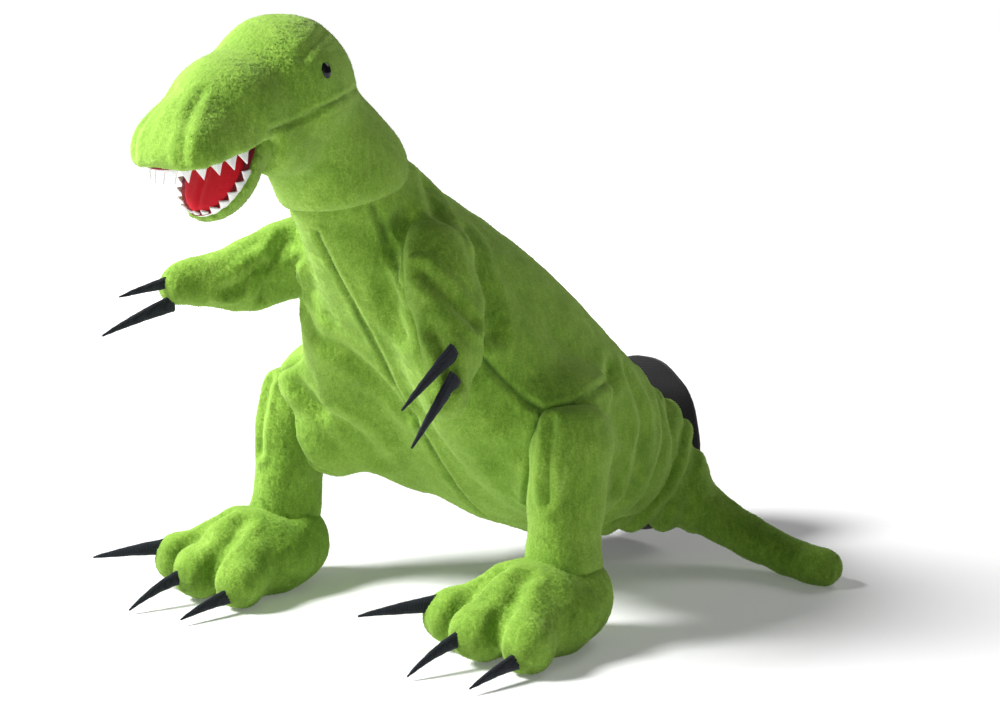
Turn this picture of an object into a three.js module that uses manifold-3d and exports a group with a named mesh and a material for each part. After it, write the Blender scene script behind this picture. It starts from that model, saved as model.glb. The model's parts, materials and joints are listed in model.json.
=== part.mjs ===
// Full-body plush dinosaur hand puppet: a hollow plush body round a black arm sleeve, a padded head
// with a moving mouth, and stuffed arms, legs, feet and tail. Millimetres, +Z up.
// The dinosaur faces -Y and its own left side is +X. It stands on both feet and the tip of its tail.
import * as THREE from 'three';
import { mergeVertices } from 'three/addons/utils/BufferGeometryUtils.js';
import Module from 'manifold-3d';

const wasm = await Module();
wasm.setup();

// ---------------------------------------------------------------- driving dimensions

const GAP = 0.4;                 // air kept between pieces that lie against each other
const LOOSE = 1.5;               // air round stuffing and other pieces of another curvature
const PLUSH = 3.2;               // plush skin: backing cloth and pile
const LINING = 1.4;              // lining cloth
const FELT = 2.2;                // claw felt
const TOOTH_FELT = 1.2;          // tooth felt
const BOARD = 1.5;               // stiffener boards of the mouth

// Spine of the hollow body, from the rear opening up to the head. Each row: how far back it lies,
// its height, half the body's width and half its depth there.
const SPINE = [
  { back: 234, height: 60, half: 62, deep: 46 },
  { back: 208, height: 77, half: 74, deep: 56 },     // rear opening
  { back: 178, height: 95, half: 88, deep: 67 },
  { back: 136, height: 123, half: 95, deep: 72 },    // hips
  { back: 88, height: 173, half: 87, deep: 66 },
  { back: 43, height: 217, half: 71, deep: 55 },
  { back: 9, height: 251, half: 53, deep: 44 },      // chest
  { back: -12, height: 277, half: 42, deep: 39 },    // neck seam, where the neck turns
  { back: -32, height: 300, half: 38, deep: 37 },
  { back: -50, height: 322, half: 37, deep: 37 },    // top of the neck, where the head nods
  { back: -68, height: 344, half: 37, deep: 37 },
];
const REAR = 1;                  // rows of SPINE that matter to the joints
const NECK_SEAM = 7;
const NECK_TOP = 9;

const MOUTH_BACK = -118;         // mouth corners, where the jaw turns
const MOUTH_HEIGHT = 326;
const LIP_PITCH = 17;            // degrees that the upper lip slopes down
const JAW_PITCH = 60;            // degrees that the open lower jaw slopes down
const SNOUT_HALF = 38;           // upper snout: half width, half length, height
const SNOUT_LONG = 40;
const SNOUT_HIGH = 30;
const SNOUT_AHEAD = 22;          // middle of the snout, ahead of the mouth corners
const JAW_HALF = 31;             // lower jaw, the same way
const JAW_LONG = 34;
const JAW_DEEP = 19;
const JAW_AHEAD = 22;
const JAW_START = 14;            // the lower jaw's shell starts this far ahead of the corners
const BROW_BEHIND = 7;            // middle of the brow, behind and above the mouth corners
const BROW_ABOVE = 13;
const SKULL = 43;                // radius of the skull, seen from the side
const SKULL_HALF = 44;           // half its width
const SKULL_BEHIND = 46;         // middle of the skull, behind and above the mouth corners
const SKULL_ABOVE = 14;
const MOUTH_TEETH = 13;          // felt teeth along the upper lip
const JAW_TEETH = 13;
const EYE = 5.6;                 // half height of the safety eye
const EYE_SPOT = { out: 0.94, back: -0.04, up: 0.34 };   // where the eye sits on the round of the skull

const SHOULDER = { out: 72, back: -6, height: 238 };
const ARM_LENGTH = 86;
const ARM_ROOT = 27;             // half height of the arm where it is sewn on
const ARM_TIP = 13;
const ARM_THIN = 0.62;           // an arm's width as a share of its height at the shoulder
const LEFT_ARM_DROP = 67;        // degrees that each arm hangs below level
const RIGHT_ARM_DROP = 12;
const LEFT_CLAW_RAISE = 28;      // degrees that each hand's claws stand up from the arm's line
const RIGHT_CLAW_RAISE = 4;
const HAND_CLAW = 32;            // length of a hand claw

const HIP = { out: 114, back: 50, height: 136 };
const STRIDE = 12;               // the left leg stands this far back, the right leg this far forward
const LEG = 24.5;                // radius of the leg
const ANKLE_HEIGHT = 50;
const ANKLE = 22.5;              // radius of the ball end in the ankle
const LEG_SPREAD = 4;            // the ankle stands this far outside the hip
const STEP = 13;                 // and this far ahead of it
const FOOT_HALF = 41;            // foot without toes: half width, half length, height of its hump
const FOOT_LONG = 46;
const FOOT_HUMP = 36;
const HEEL = 30;
const TOE_REACH = 68;            // middle of a toe, ahead of the ankle
const TOE = { half: 17, long: 23, high: 18 };
const TOE_FAN = 30;              // degrees between toes
const CLAW_FAN = 16;             // degrees between claws, which point more nearly straight ahead
const CLAW_DIP = 8;              // degrees that the middle claw dips
const CLAW_ROLL = 4;             // each claw stands this much lower than the one on its right
const FOOT_TURN = -6;            // degrees that both feet turn to the dinosaur's right
const FOOT_CLAW = 44;
const SOLE = 1.6;

const SLEEVE = { half: 46, deep: 57, flare: 7, shift: -12, proud: 78 };   // black arm sleeve at the rear
const WRIST = 31;                // the sleeve's radius where the hand goes up into the neck

// Tail, from its root at the left of the rear opening to the tip on the floor.
const TAIL = [
  { out: 48, back: 208, height: 77, half: 20, deep: 43 },
  { out: 52, back: 227, height: 67, half: 19.5, deep: 34 },
  { out: 60, back: 244, height: 54, half: 18.5, deep: 25 },
  { out: 74, back: 257, height: 42, half: 17.5, deep: 17.5 },   // fold, where the tail lifts
  { out: 95, back: 266, height: 29, half: 14.5, deep: 14.5 },
  { out: 125, back: 271, height: 18, half: 13.5, deep: 13.5 },
  { out: 152, back: 270, height: 13.4, half: 13, deep: 13 },
  { out: 169, back: 268, height: 13, half: 13, deep: 13 },
  { out: 177, back: 267, height: 12.8, half: 10, deep: 10 },
  { out: 181, back: 266, height: 12.5, half: 5, deep: 5 },
];
const TAIL_FOLD = 3;
const TAIL_SWING_ROOM = 8;       // degrees of room left at the tail's root

const degrees = THREE.MathUtils.degToRad;

// ---------------------------------------------------------------- solids

function toSolid(geometry) {
  const bare = geometry.clone();
  bare.deleteAttribute('normal');
  bare.deleteAttribute('uv');
  const merged = mergeVertices(bare, 1e-3);
  return new wasm.Manifold(new wasm.Mesh({
    numProp: 3,
    vertProperties: new Float32Array(merged.attributes.position.array),
    triVerts: new Uint32Array(merged.index.array),
  }));
}

function toGeometry(solid) {
  const mesh = solid.getMesh();
  const geometry = new THREE.BufferGeometry();
  geometry.setAttribute('position', new THREE.BufferAttribute(new Float32Array(mesh.vertProperties), 3));
  geometry.setIndex(new THREE.BufferAttribute(new Uint32Array(mesh.triVerts), 1));
  geometry.computeVertexNormals();
  return geometry;
}

function placed(geometry, { at = [0, 0, 0], turn = [0, 0, 0], scale = [1, 1, 1] } = {}) {
  const angles = new THREE.Euler(...turn.map(degrees));
  const matrix = new THREE.Matrix4().compose(
    new THREE.Vector3(...at), new THREE.Quaternion().setFromEuler(angles), new THREE.Vector3(...scale));
  return toSolid(geometry.clone().applyMatrix4(matrix));
}

function egg(half, long, high, at, turn = [0, 0, 0], around = 14) {
  const ball = new THREE.SphereGeometry(1, around, Math.round(around * 0.55));
  ball.rotateX(Math.PI / 2);
  return placed(ball, { at, turn, scale: [half, long, high] });
}

// A box given by its lowest and highest corners.
function block(low, high, place = {}) {
  const size = high.map((value, axis) => value - low[axis]);
  const box = new THREE.BoxGeometry(...size);
  box.translate(...low.map((value, axis) => value + size[axis] / 2));
  return placed(box, place);
}

// The largest of a solid's separate bodies: where three rounds meet, a cut can leave crumbs.
function mainBody(solid) {
  return solid.decompose().reduce((most, other) => (other.volume() > most.volume() ? other : most));
}

function union(solids) {
  return solids.reduce((sum, solid) => sum.add(solid));
}

// A soft tube: a closed cylinder whose rings follow the stations' middle line and take their widths.
// from and to are in stations, so 2.5 lies halfway between the third and the fourth.
// A level tube keeps its width horizontal; the others keep it along X.
class SoftTube {
  constructor(stations, level = false) {
    this.level = level;
    this.last = stations.length - 1;
    const points = stations.map((s) => new THREE.Vector3(s.out ?? 0, s.back, s.height));
    const widths = stations.map((s) => new THREE.Vector3(s.half, s.deep, 0));
    this.middle = new THREE.CatmullRomCurve3(points, false, 'catmullrom', 0.5);
    this.widths = new THREE.CatmullRomCurve3(widths, false, 'catmullrom', 0.5);
  }

  frame(station) {
    const share = THREE.MathUtils.clamp(station / this.last, 0, 1);
    const at = this.middle.getPoint(share);
    const along = this.middle.getTangent(share);
    const side = this.level
      ? new THREE.Vector3(0, 0, 1).cross(along).normalize()
      : new THREE.Vector3(1, 0, 0).addScaledVector(along, -along.x).normalize();
    return { at, along, side, depth: side.clone().cross(along), width: this.widths.getPoint(share) };
  }

  solid({ from = 0, to = this.last, inset = 0, overshoot = [0, 0], sides = 20, rings = 8 }) {
    const tube = new THREE.CylinderGeometry(1, 1, 1, sides, rings);
    const position = tube.attributes.position;
    for (let i = 0; i < position.count; i += 1) {
      const share = position.getY(i) + 0.5;
      const { at, along, side, depth, width } = this.frame(from + (to - from) * share);
      if (share < 1e-6) at.addScaledVector(along, -overshoot[0]);
      if (share > 1 - 1e-6) at.addScaledVector(along, overshoot[1]);
      at.addScaledVector(side, position.getX(i) * (width.x - inset));
      at.addScaledVector(depth, position.getZ(i) * (width.y - inset));
      position.setXYZ(i, at.x, at.y, at.z);
    }
    return toSolid(tube);
  }
}

// ---------------------------------------------------------------- scene graph helpers

const FINISH = {
  plush: { color: 0x86b03a, roughness: 0.95 },
  stuffing: { color: 0xf1efe8, roughness: 1 },
  black_felt: { color: 0x14181f, roughness: 0.9 },
  white_felt: { color: 0xf4f4f0, roughness: 0.9 },
  mouth: { color: 0x7d0716, roughness: 0.8 },
  tongue: { color: 0xd40f24, roughness: 0.8 },
  sleeve: { color: 0x101012, roughness: 0.85 },
  eye: { color: 0x0a0a0c, roughness: 0.12 },
  washer: { color: 0xe8e8e4, roughness: 0.5 },
  board: { color: 0xb99a6b, roughness: 0.9 },
};

function piece(name, solid, finish) {
  const material = new THREE.MeshStandardMaterial({ ...FINISH[finish], metalness: 0 });
  const mesh = new THREE.Mesh(solid instanceof THREE.BufferGeometry ? solid : toGeometry(solid), material);
  mesh.name = name;
  return mesh;
}

function group(at, turn, ...children) {
  const holder = new THREE.Group();
  holder.position.set(...at);
  holder.rotation.set(...turn.map(degrees));
  holder.add(...children);
  return holder;
}

// The left and right halves of a solid, GAP apart at the middle seam.
function halves(solid) {
  const FAR = 400;
  const left = block([GAP / 2, -FAR, -FAR], [FAR, FAR, FAR + 200]);
  const right = block([-FAR, -FAR, -FAR], [-GAP / 2, FAR, FAR + 200]);
  return { left: solid.intersect(left), right: solid.intersect(right) };
}

// A felt claw: flat, long and slightly curved, its root at the origin, pointing along -Y.
function claw(length, width) {
  const outline = new THREE.Shape();
  outline.moveTo(-width / 2, 0);
  outline.quadraticCurveTo(-width * 0.55, -length * 0.55, width * 0.25, -length);
  outline.quadraticCurveTo(width * 0.5, -length * 0.45, width / 2, 0);
  outline.closePath();
  const felt = new THREE.ExtrudeGeometry(outline, { depth: FELT, bevelEnabled: false, curveSegments: 5 });
  felt.translate(0, 0, -FELT / 2);
  return felt;
}

// ---------------------------------------------------------------- torso and sleeve

const spine = new SoftTube(SPINE);

// The line of the flank seams: the plane through the body's middle line, seen from the side.
function flankPlane() {
  const low = spine.frame(REAR).at;
  const high = spine.frame(NECK_SEAM).at;
  const pitch = THREE.MathUtils.radToDeg(Math.atan2(high.z - low.z, high.y - low.y));
  return { at: [0, low.y, low.z], turn: [pitch, 0, 0] };
}

function sleeveTube() {
  const rear = spine.frame(REAR).at;
  const stations = [
    {
      out: SLEEVE.shift,
      back: rear.y + SLEEVE.proud,
      height: rear.z - 4,
      half: SLEEVE.half + SLEEVE.flare,
      deep: SLEEVE.deep + SLEEVE.flare,
    },
    { out: SLEEVE.shift, back: rear.y + 30, height: rear.z, half: SLEEVE.half - 6, deep: SLEEVE.deep - 14 },
    { out: SLEEVE.shift, back: rear.y + 2, height: rear.z + 6, half: SLEEVE.half - 8, deep: SLEEVE.deep - 19 },
    ...[2, 3, 4, 5, 6].map((row) => ({
      out: SLEEVE.shift * (6 - row) / 6,
      back: SPINE[row].back,
      height: SPINE[row].height,
      half: THREE.MathUtils.lerp(SLEEVE.half - 7, WRIST, (row - 1) / 5),
      deep: THREE.MathUtils.lerp(SLEEVE.deep - 18, WRIST, (row - 1) / 5),
    })),
    { out: 0, back: SPINE[NECK_SEAM].back, height: SPINE[NECK_SEAM].height, half: WRIST - 1, deep: WRIST - 1 },
  ];
  return new SoftTube(stations);
}

function armSleeve() {
  const tube = sleeveTube();
  const end = tube.last - 0.1;
  const outer = tube.solid({ to: end, rings: 9, sides: 14 });
  const inner = tube.solid({ to: end, rings: 9, sides: 14, inset: LINING, overshoot: [5, 5] });
  return piece('arm_sleeve', outer.subtract(inner), 'sleeve');
}

function torso() {
  const range = { from: REAR, to: NECK_SEAM - 0.02, rings: 8, sides: 20 };
  const shell = spine.solid(range).subtract(spine.solid({ ...range, inset: PLUSH, overshoot: [6, 6] }));
  const plane = flankPlane();
  const REACH = 420;
  const above = block([-REACH, -REACH, -REACH], [REACH, REACH, -GAP / 2], plane);
  const below = block([-REACH, -REACH, GAP / 2], [REACH, REACH, REACH], plane);
  const backs = halves(shell.intersect(above));
  const bellies = halves(shell.intersect(below));
  return [
    piece('back_panel_left', backs.left, 'plush'),
    piece('back_panel_right', backs.right, 'plush'),
    piece('belly_panel_left', bellies.left, 'plush'),
    piece('belly_panel_right', bellies.right, 'plush'),
    armSleeve(),
  ];
}

// ---------------------------------------------------------------- neck

const HEAD_BALL = SPINE[NECK_TOP].half - PLUSH - 2 * GAP;     // the head's ball end inside the neck
const BALL_DEPTH = 15;                                        // how far that ball reaches down

function neck() {
  const range = { from: NECK_SEAM + 0.02, to: NECK_TOP, rings: 3, sides: 20 };
  const shell = spine.solid(range).subtract(spine.solid({ ...range, inset: PLUSH, overshoot: [6, 6] }));
  const skins = halves(shell);
  const liningRange = { from: NECK_SEAM + 0.02, to: NECK_TOP - 0.75, rings: 2, sides: 20 };
  const lining = spine.solid({ ...liningRange, inset: PLUSH + LOOSE })
    .subtract(spine.solid({ ...liningRange, inset: PLUSH + LOOSE + LINING, overshoot: [6, 6] }));
  return [
    piece('neck_skin_left', skins.left, 'plush'),
    piece('neck_skin_right', skins.right, 'plush'),
    piece('neck_lining', lining, 'sleeve'),
  ];
}

// ---------------------------------------------------------------- head
// Modelled from the mouth corners: forward is -Y and the lip plane is z = 0.

const headTurn = degrees(LIP_PITCH);

// A point of the body's own frame, as the head sees it.
function inHead({ y, z }) {
  const along = y - MOUTH_BACK;
  const up = z - MOUTH_HEIGHT;
  return {
    back: along * Math.cos(headTurn) + up * Math.sin(headTurn),
    height: -along * Math.sin(headTurn) + up * Math.cos(headTurn),
  };
}

const neckTop = inHead(spine.frame(NECK_TOP).at);

function headForm(inset, around = 14) {
  const lump = (half, long, high, at) => egg(half - inset, long - inset, high - inset, at, [0, 0, 0], around);
  return union([
    lump(SKULL_HALF, SKULL, SKULL, [0, SKULL_BEHIND, SKULL_ABOVE]),
    lump(SNOUT_HALF, SNOUT_LONG, SNOUT_HIGH, [0, -SNOUT_AHEAD, 0]),
    lump(SNOUT_HALF, SNOUT_LONG, SNOUT_HIGH, [0, BROW_BEHIND, BROW_ABOVE]),
    lump(HEAD_BALL, HEAD_BALL, HEAD_BALL, [0, neckTop.back, neckTop.height]),
  ]);
}

// Everything below the lip plane and ahead of the throat: the open mouth's share of the space.
const THROAT = 9;
function mouthSpace() {
  return block([-90, -90, -90], [90, THROAT, 0]);
}

// The part of the neck's tube below the ball, cut square to the neck.
function belowBall() {
  const { along } = spine.frame(NECK_TOP);
  const lean = THREE.MathUtils.radToDeg(Math.atan2(-along.y, along.z)) - LIP_PITCH;
  return block([-90, -90, -90], [90, 90, -BALL_DEPTH], { at: [0, neckTop.back, neckTop.height], turn: [lean, 0, 0] });
}

// The room that the hand takes in the head, from the neck to the fingers in the snout.
function handSpace() {
  const reach = new SoftTube([
    { back: neckTop.back + 20, height: neckTop.height - 22, half: 25, deep: 24 },
    { back: neckTop.back, height: neckTop.height, half: 26, deep: 24 },
    { back: SKULL_BEHIND - 12, height: -2, half: 27, deep: 22 },
    { back: 4, height: 8, half: 26, deep: 14 },
    { back: -SNOUT_AHEAD - 8, height: 9, half: 24, deep: 9 },
    { back: -SNOUT_AHEAD - 20, height: 8, half: 17, deep: 6 },
  ]);
  return reach.solid({ rings: 7, sides: 12 });
}

function fingerPocketForm(inset) {
  const pocket = new SoftTube([
    { back: 6, height: 12.5, half: 22, deep: 7.5 },
    { back: -14, height: 12.5, half: 22, deep: 7.5 },
    { back: -30, height: 11.5, half: 18, deep: 6.5 },
    { back: -40, height: 10.5, half: 11, deep: 4.5 },
  ]);
  const ends = inset === 0 ? [0, 0] : [4, -inset];
  return pocket.solid({ inset, rings: 4, sides: 12, overshoot: ends });
}

function slab(low, high, half, long, ahead, back) {
  const outline = egg(half, long, 60, [0, -ahead, 0], [0, 0, 0], 20);
  return outline.intersect(block([-90, -90, low], [90, -back, high]));
}

// A felt strip cut to a zigzag and bent along a half oval. Its teeth stand on the plane z = 0 and
// point up (side 1) or down (side -1); its root reaches a little way into the cloth.
function teeth({ half, long, ahead, count, height, side, reach }) {
  const ROOT = 2.2;
  const strip = new THREE.BoxGeometry(1, 1, TOOTH_FELT, 2 * count, 1, 1);
  const position = strip.attributes.position;
  for (let i = 0; i < position.count; i += 1) {
    const share = position.getX(i);
    const angle = -side * 2 * degrees(reach) * share;
    const isTip = Math.round((share + 0.5) * 2 * count) % 2 === 1;
    const free = isTip ? height : 0;
    const out = position.getZ(i);
    position.setXYZ(i,
      (half + out) * Math.sin(angle),
      -ahead - (long + out) * Math.cos(angle),
      side * (position.getY(i) > 0 ? -ROOT : free));
  }
  return toSolid(strip);
}

function eye(side) {
  const name = side > 0 ? 'left' : 'right';
  const radii = [SKULL_HALF, SKULL, SKULL];
  const out = [side * EYE_SPOT.out, EYE_SPOT.back, EYE_SPOT.up];
  const spot = [out[0] * radii[0], SKULL_BEHIND + out[1] * radii[1], SKULL_ABOVE + out[2] * radii[2]];
  const normal = new THREE.Vector3(...out.map((share, axis) => share / radii[axis])).normalize();
  const swing = new THREE.Quaternion().setFromUnitVectors(new THREE.Vector3(0, 0, 1), normal);
  const angles = new THREE.Euler().setFromQuaternion(swing);
  const dome = egg(EYE * 0.85, EYE, EYE * 0.5, [0, 0, 0], [0, 0, 0], 12);
  const stalk = placed(new THREE.CylinderGeometry(1.6, 1.6, 9, 8), { at: [0, 0, -4.6], turn: [90, 0, 0] });
  const washer = placed(new THREE.CylinderGeometry(5, 5, 1.2, 14), { at: [0, 0, -PLUSH - 4.4], turn: [90, 0, 0] })
    .subtract(placed(new THREE.CylinderGeometry(1.6 + GAP, 1.6 + GAP, 4, 10), { at: [0, 0, -PLUSH - 4.4], turn: [90, 0, 0] }));
  const tilt = [angles.x, angles.y, angles.z].map(THREE.MathUtils.radToDeg);
  return { name, spot, tilt, solid: dome.add(stalk), washer };
}

function inPlace(solid, at, turn) {
  return placed(toGeometry(solid), { at, turn });
}

function head() {
  const form = headForm(0).subtract(headForm(PLUSH)).subtract(mouthSpace()).subtract(belowBall());
  const eyes = [1, -1].map(eye);
  let skin = form;
  let padding = headForm(PLUSH + LOOSE)
    .subtract(block([-90, -90, -90], [90, 90, 5]))
    .subtract(handSpace())
    .subtract(fingerPocketForm(-LOOSE / 2));
  const extras = [];
  for (const { name, spot, tilt, solid, washer } of eyes) {
    const fitted = inPlace(solid, spot, tilt);
    const ring = inPlace(washer, spot, tilt);
    const room = placed(new THREE.CylinderGeometry(EYE + 4, EYE + 4, 26, 12), { at: [0, 0, -5], turn: [90, 0, 0] });
    const hole = placed(new THREE.CylinderGeometry(EYE + 2 * GAP, EYE + 2 * GAP, 14, 12), { turn: [90, 0, 0] });
    skin = skin.subtract(inPlace(hole, spot, tilt));
    padding = padding.subtract(inPlace(room, spot, tilt));
    extras.push(piece(`${name}_eye`, fitted, 'eye'), piece(`${name}_eye_washer`, ring, 'washer'));
  }
  const skins = halves(skin);
  const toothLine = PLUSH + LOOSE + TOOTH_FELT;
  const inside = toothLine + TOOTH_FELT / 2 + 2 * GAP;
  const pocket = fingerPocketForm(0).subtract(fingerPocketForm(1));
  return group([0, MOUTH_BACK, MOUTH_HEIGHT], [LIP_PITCH, 0, 0],
    piece('crown_panel_left', skins.left, 'plush'),
    piece('crown_panel_right', skins.right, 'plush'),
    piece('head_padding', mainBody(padding), 'stuffing'),
    piece('finger_pocket', pocket, 'sleeve'),
    piece('upper_mouth_lining',
      slab(GAP, GAP + LINING, SNOUT_HALF - inside, SNOUT_LONG - inside, SNOUT_AHEAD, 2), 'mouth'),
    piece('upper_palate_board',
      slab(2 * GAP + LINING, 2 * GAP + LINING + BOARD, SNOUT_HALF - inside - 1, SNOUT_LONG - inside - 1,
        SNOUT_AHEAD, 4), 'board'),
    piece('upper_teeth_strip',
      teeth({ half: SNOUT_HALF - toothLine, long: SNOUT_LONG - toothLine, ahead: SNOUT_AHEAD,
        count: MOUTH_TEETH, height: 8.5, side: -1, reach: 96 }), 'white_felt'),
    ...extras);
}

// ---------------------------------------------------------------- lower jaw
// Modelled from the mouth corners: forward is -Y and the tongue lies on the plane z = 0.

function jaw() {
  const outer = egg(JAW_HALF, JAW_LONG, JAW_DEEP, [0, -JAW_AHEAD, 0], [0, 0, 0], 18);
  const inner = egg(JAW_HALF - PLUSH, JAW_LONG - PLUSH, JAW_DEEP - PLUSH, [0, -JAW_AHEAD, 0], [0, 0, 0], 18);
  const lower = block([-90, -90, -90], [90, -JAW_START, 0]);
  const toothLine = PLUSH + LOOSE + TOOTH_FELT;
  const inside = toothLine + TOOTH_FELT / 2 + 2 * GAP;
  const thumbTop = -(3 * GAP + LINING + BOARD);
  const thumb = (inset) => egg(13 - inset, 24 - inset, 9 - inset, [0, -JAW_AHEAD, thumbTop], [0, 0, 0], 12)
    .intersect(block([-90, -90, -90], [90, -JAW_START - 1 + inset * 3, thumbTop - inset]));
  return group([0, MOUTH_BACK, MOUTH_HEIGHT], [JAW_PITCH, 0, 0],
    piece('chin_panel', outer.subtract(inner).intersect(lower), 'plush'),
    piece('lower_mouth_lining',
      slab(-GAP - LINING, -GAP, JAW_HALF - inside, JAW_LONG - inside, JAW_AHEAD, JAW_START - 2), 'mouth'),
    piece('lower_palate_board',
      slab(-2 * GAP - LINING - BOARD, -2 * GAP - LINING, JAW_HALF - inside - 1, JAW_LONG - inside - 1,
        JAW_AHEAD, JAW_START), 'board'),
    piece('thumb_pocket', thumb(0).subtract(thumb(1)), 'sleeve'),
    piece('tongue', egg(15, 19, 4.2, [0, -JAW_AHEAD - 6, 0], [0, 0, 0], 16)
      .intersect(block([-40, -90, 0], [40, 20, 20])), 'tongue'),
    piece('lower_teeth_strip',
      teeth({ half: JAW_HALF - toothLine, long: JAW_LONG - toothLine, ahead: JAW_AHEAD,
        count: JAW_TEETH, height: 3.6, side: 1, reach: 88 }), 'white_felt'));
}

// ---------------------------------------------------------------- arms
// Modelled from the shoulder, reaching along -Y, with the body on the inner side.

function arm(side, drop, raise) {
  const name = side > 0 ? 'left' : 'right';
  const out = (distance) => side * distance;
  const tube = new SoftTube([
    { out: out(-6), back: 26, height: 0, half: 3, deep: 8 },
    { out: out(-4), back: 20, height: 0, half: 9, deep: 18 },
    { out: out(0), back: 4, height: 0, half: ARM_ROOT * ARM_THIN, deep: ARM_ROOT },
    { out: out(10), back: -0.24 * ARM_LENGTH, height: -3, half: ARM_ROOT * 0.72, deep: ARM_ROOT * 0.94 },
    { out: out(20), back: -0.5 * ARM_LENGTH, height: -3, half: ARM_ROOT * 0.66, deep: ARM_ROOT * 0.7 },
    { out: out(27), back: -0.78 * ARM_LENGTH, height: 1, half: ARM_TIP * 1.15, deep: ARM_TIP * 1.1 },
    { out: out(30), back: -0.93 * ARM_LENGTH, height: 2, half: ARM_TIP, deep: ARM_TIP * 0.9 },
    { out: out(31), back: -ARM_LENGTH, height: 2, half: ARM_TIP * 0.45, deep: ARM_TIP * 0.4 },
  ]);
  const outer = tube.solid({ rings: 9, sides: 12 });
  const inner = tube.solid({ from: 1.2, to: tube.last - 0.7, rings: 7, sides: 12, inset: PLUSH });
  const window = block([Math.min(0, out(-60)), -14, -17], [Math.max(0, out(-60)), 17, 17]);
  const stuffing = tube.solid({ from: 1.4, to: tube.last - 0.8, rings: 6, sides: 10, inset: PLUSH + LOOSE });
  const tip = { out: 31, back: -ARM_LENGTH - 2.5 * LOOSE, height: 2 };
  const claws = [-1, 1].map((end) => {
    const felt = piece(`${name}_hand_claw_${end < 0 ? 'inner' : 'outer'}`, claw(HAND_CLAW, 8), 'black_felt');
    felt.position.set(out(tip.out + end * 6), tip.back + 2 * (end > 0), tip.height + 3 * end);
    felt.rotation.set(degrees(-raise - 5 * end), degrees(90 * side), degrees(side * end * 12));
    felt.rotation.order = 'ZXY';
    return felt;
  });
  return group([out(SHOULDER.out), SHOULDER.back, SHOULDER.height], [drop, 0, 0],
    piece(`${name}_arm_skin`, outer.subtract(inner).subtract(window), 'plush'),
    piece(`${name}_arm_stuffing`, stuffing, 'stuffing'),
    ...claws);
}

// ---------------------------------------------------------------- legs and feet

function legSide(side) {
  return { name: side > 0 ? 'left' : 'right', back: HIP.back + side * STRIDE };
}

function leg(side) {
  const { name, back } = legSide(side);
  const ankleOut = side * (HIP.out + LEG_SPREAD);
  const ankleBack = back - STEP;
  const top = HIP.height;
  const tube = new SoftTube([
    { out: side * HIP.out, back: back + 2, height: top + 24, half: 8, deep: 9 },
    { out: side * HIP.out, back: back + 2, height: top + 18, half: 18, deep: 20 },
    { out: side * HIP.out, back, height: top, half: LEG, deep: LEG + 3 },
    {
      out: side * (HIP.out + LEG_SPREAD / 2),
      back: back - STEP / 2,
      height: (top + ANKLE_HEIGHT) / 2 + 10,
      half: LEG,
      deep: LEG + 1,
    },
    { out: ankleOut, back: ankleBack, height: ANKLE_HEIGHT + 16, half: ANKLE + 1, deep: ANKLE + 1 },
    { out: ankleOut, back: ankleBack, height: ANKLE_HEIGHT, half: ANKLE - 0.8, deep: ANKLE - 0.8 },
  ]);
  const ball = (radius) => egg(radius, radius, radius, [ankleOut, ankleBack, ANKLE_HEIGHT], [0, 0, 0], 12);
  const outer = tube.solid({ rings: 7, sides: 12 }).add(ball(ANKLE));
  const inner = tube.solid({ from: 1.3, rings: 5, sides: 12, inset: PLUSH }).add(ball(ANKLE - PLUSH));
  const fill = PLUSH + LOOSE;
  const stuffing = tube.solid({ from: 1.5, rings: 5, sides: 12, inset: fill }).add(ball(ANKLE - fill));
  const inward = -side;
  const window = block(
    [Math.min(0, inward * 60), -17, -17], [Math.max(0, inward * 60), 17, 14],
    { at: [side * HIP.out, back, top] });
  return [
    piece(`${name}_leg_skin`, outer.subtract(inner).subtract(window), 'plush'),
    piece(`${name}_leg_stuffing`, stuffing, 'stuffing'),
  ];
}

// Modelled from the ankle, toes along -Y.
function footForm(inset) {
  const around = 11;
  const middle = -0.5 * FOOT_LONG;
  const sole = -ANKLE_HEIGHT;
  const hump = egg(FOOT_HALF - inset, FOOT_LONG - inset, FOOT_HUMP - inset, [0, middle + 4, sole + 18], [0, 0, 0], around);
  const heel = egg(HEEL - inset, HEEL - inset, HEEL - inset, [0, 0, sole + HEEL - 8], [0, 0, 0], around);
  const toes = [-1, 0, 1].map((spot) => {
    const fan = degrees(spot * TOE_FAN);
    const at = [TOE_REACH * Math.sin(fan), -TOE_REACH * Math.cos(fan), sole + TOE.high - 4];
    return egg(TOE.half - inset, TOE.long - inset, TOE.high - inset, at, [0, 0, spot * TOE_FAN], 8);
  });
  return union([hump, heel, ...toes]);
}

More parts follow.
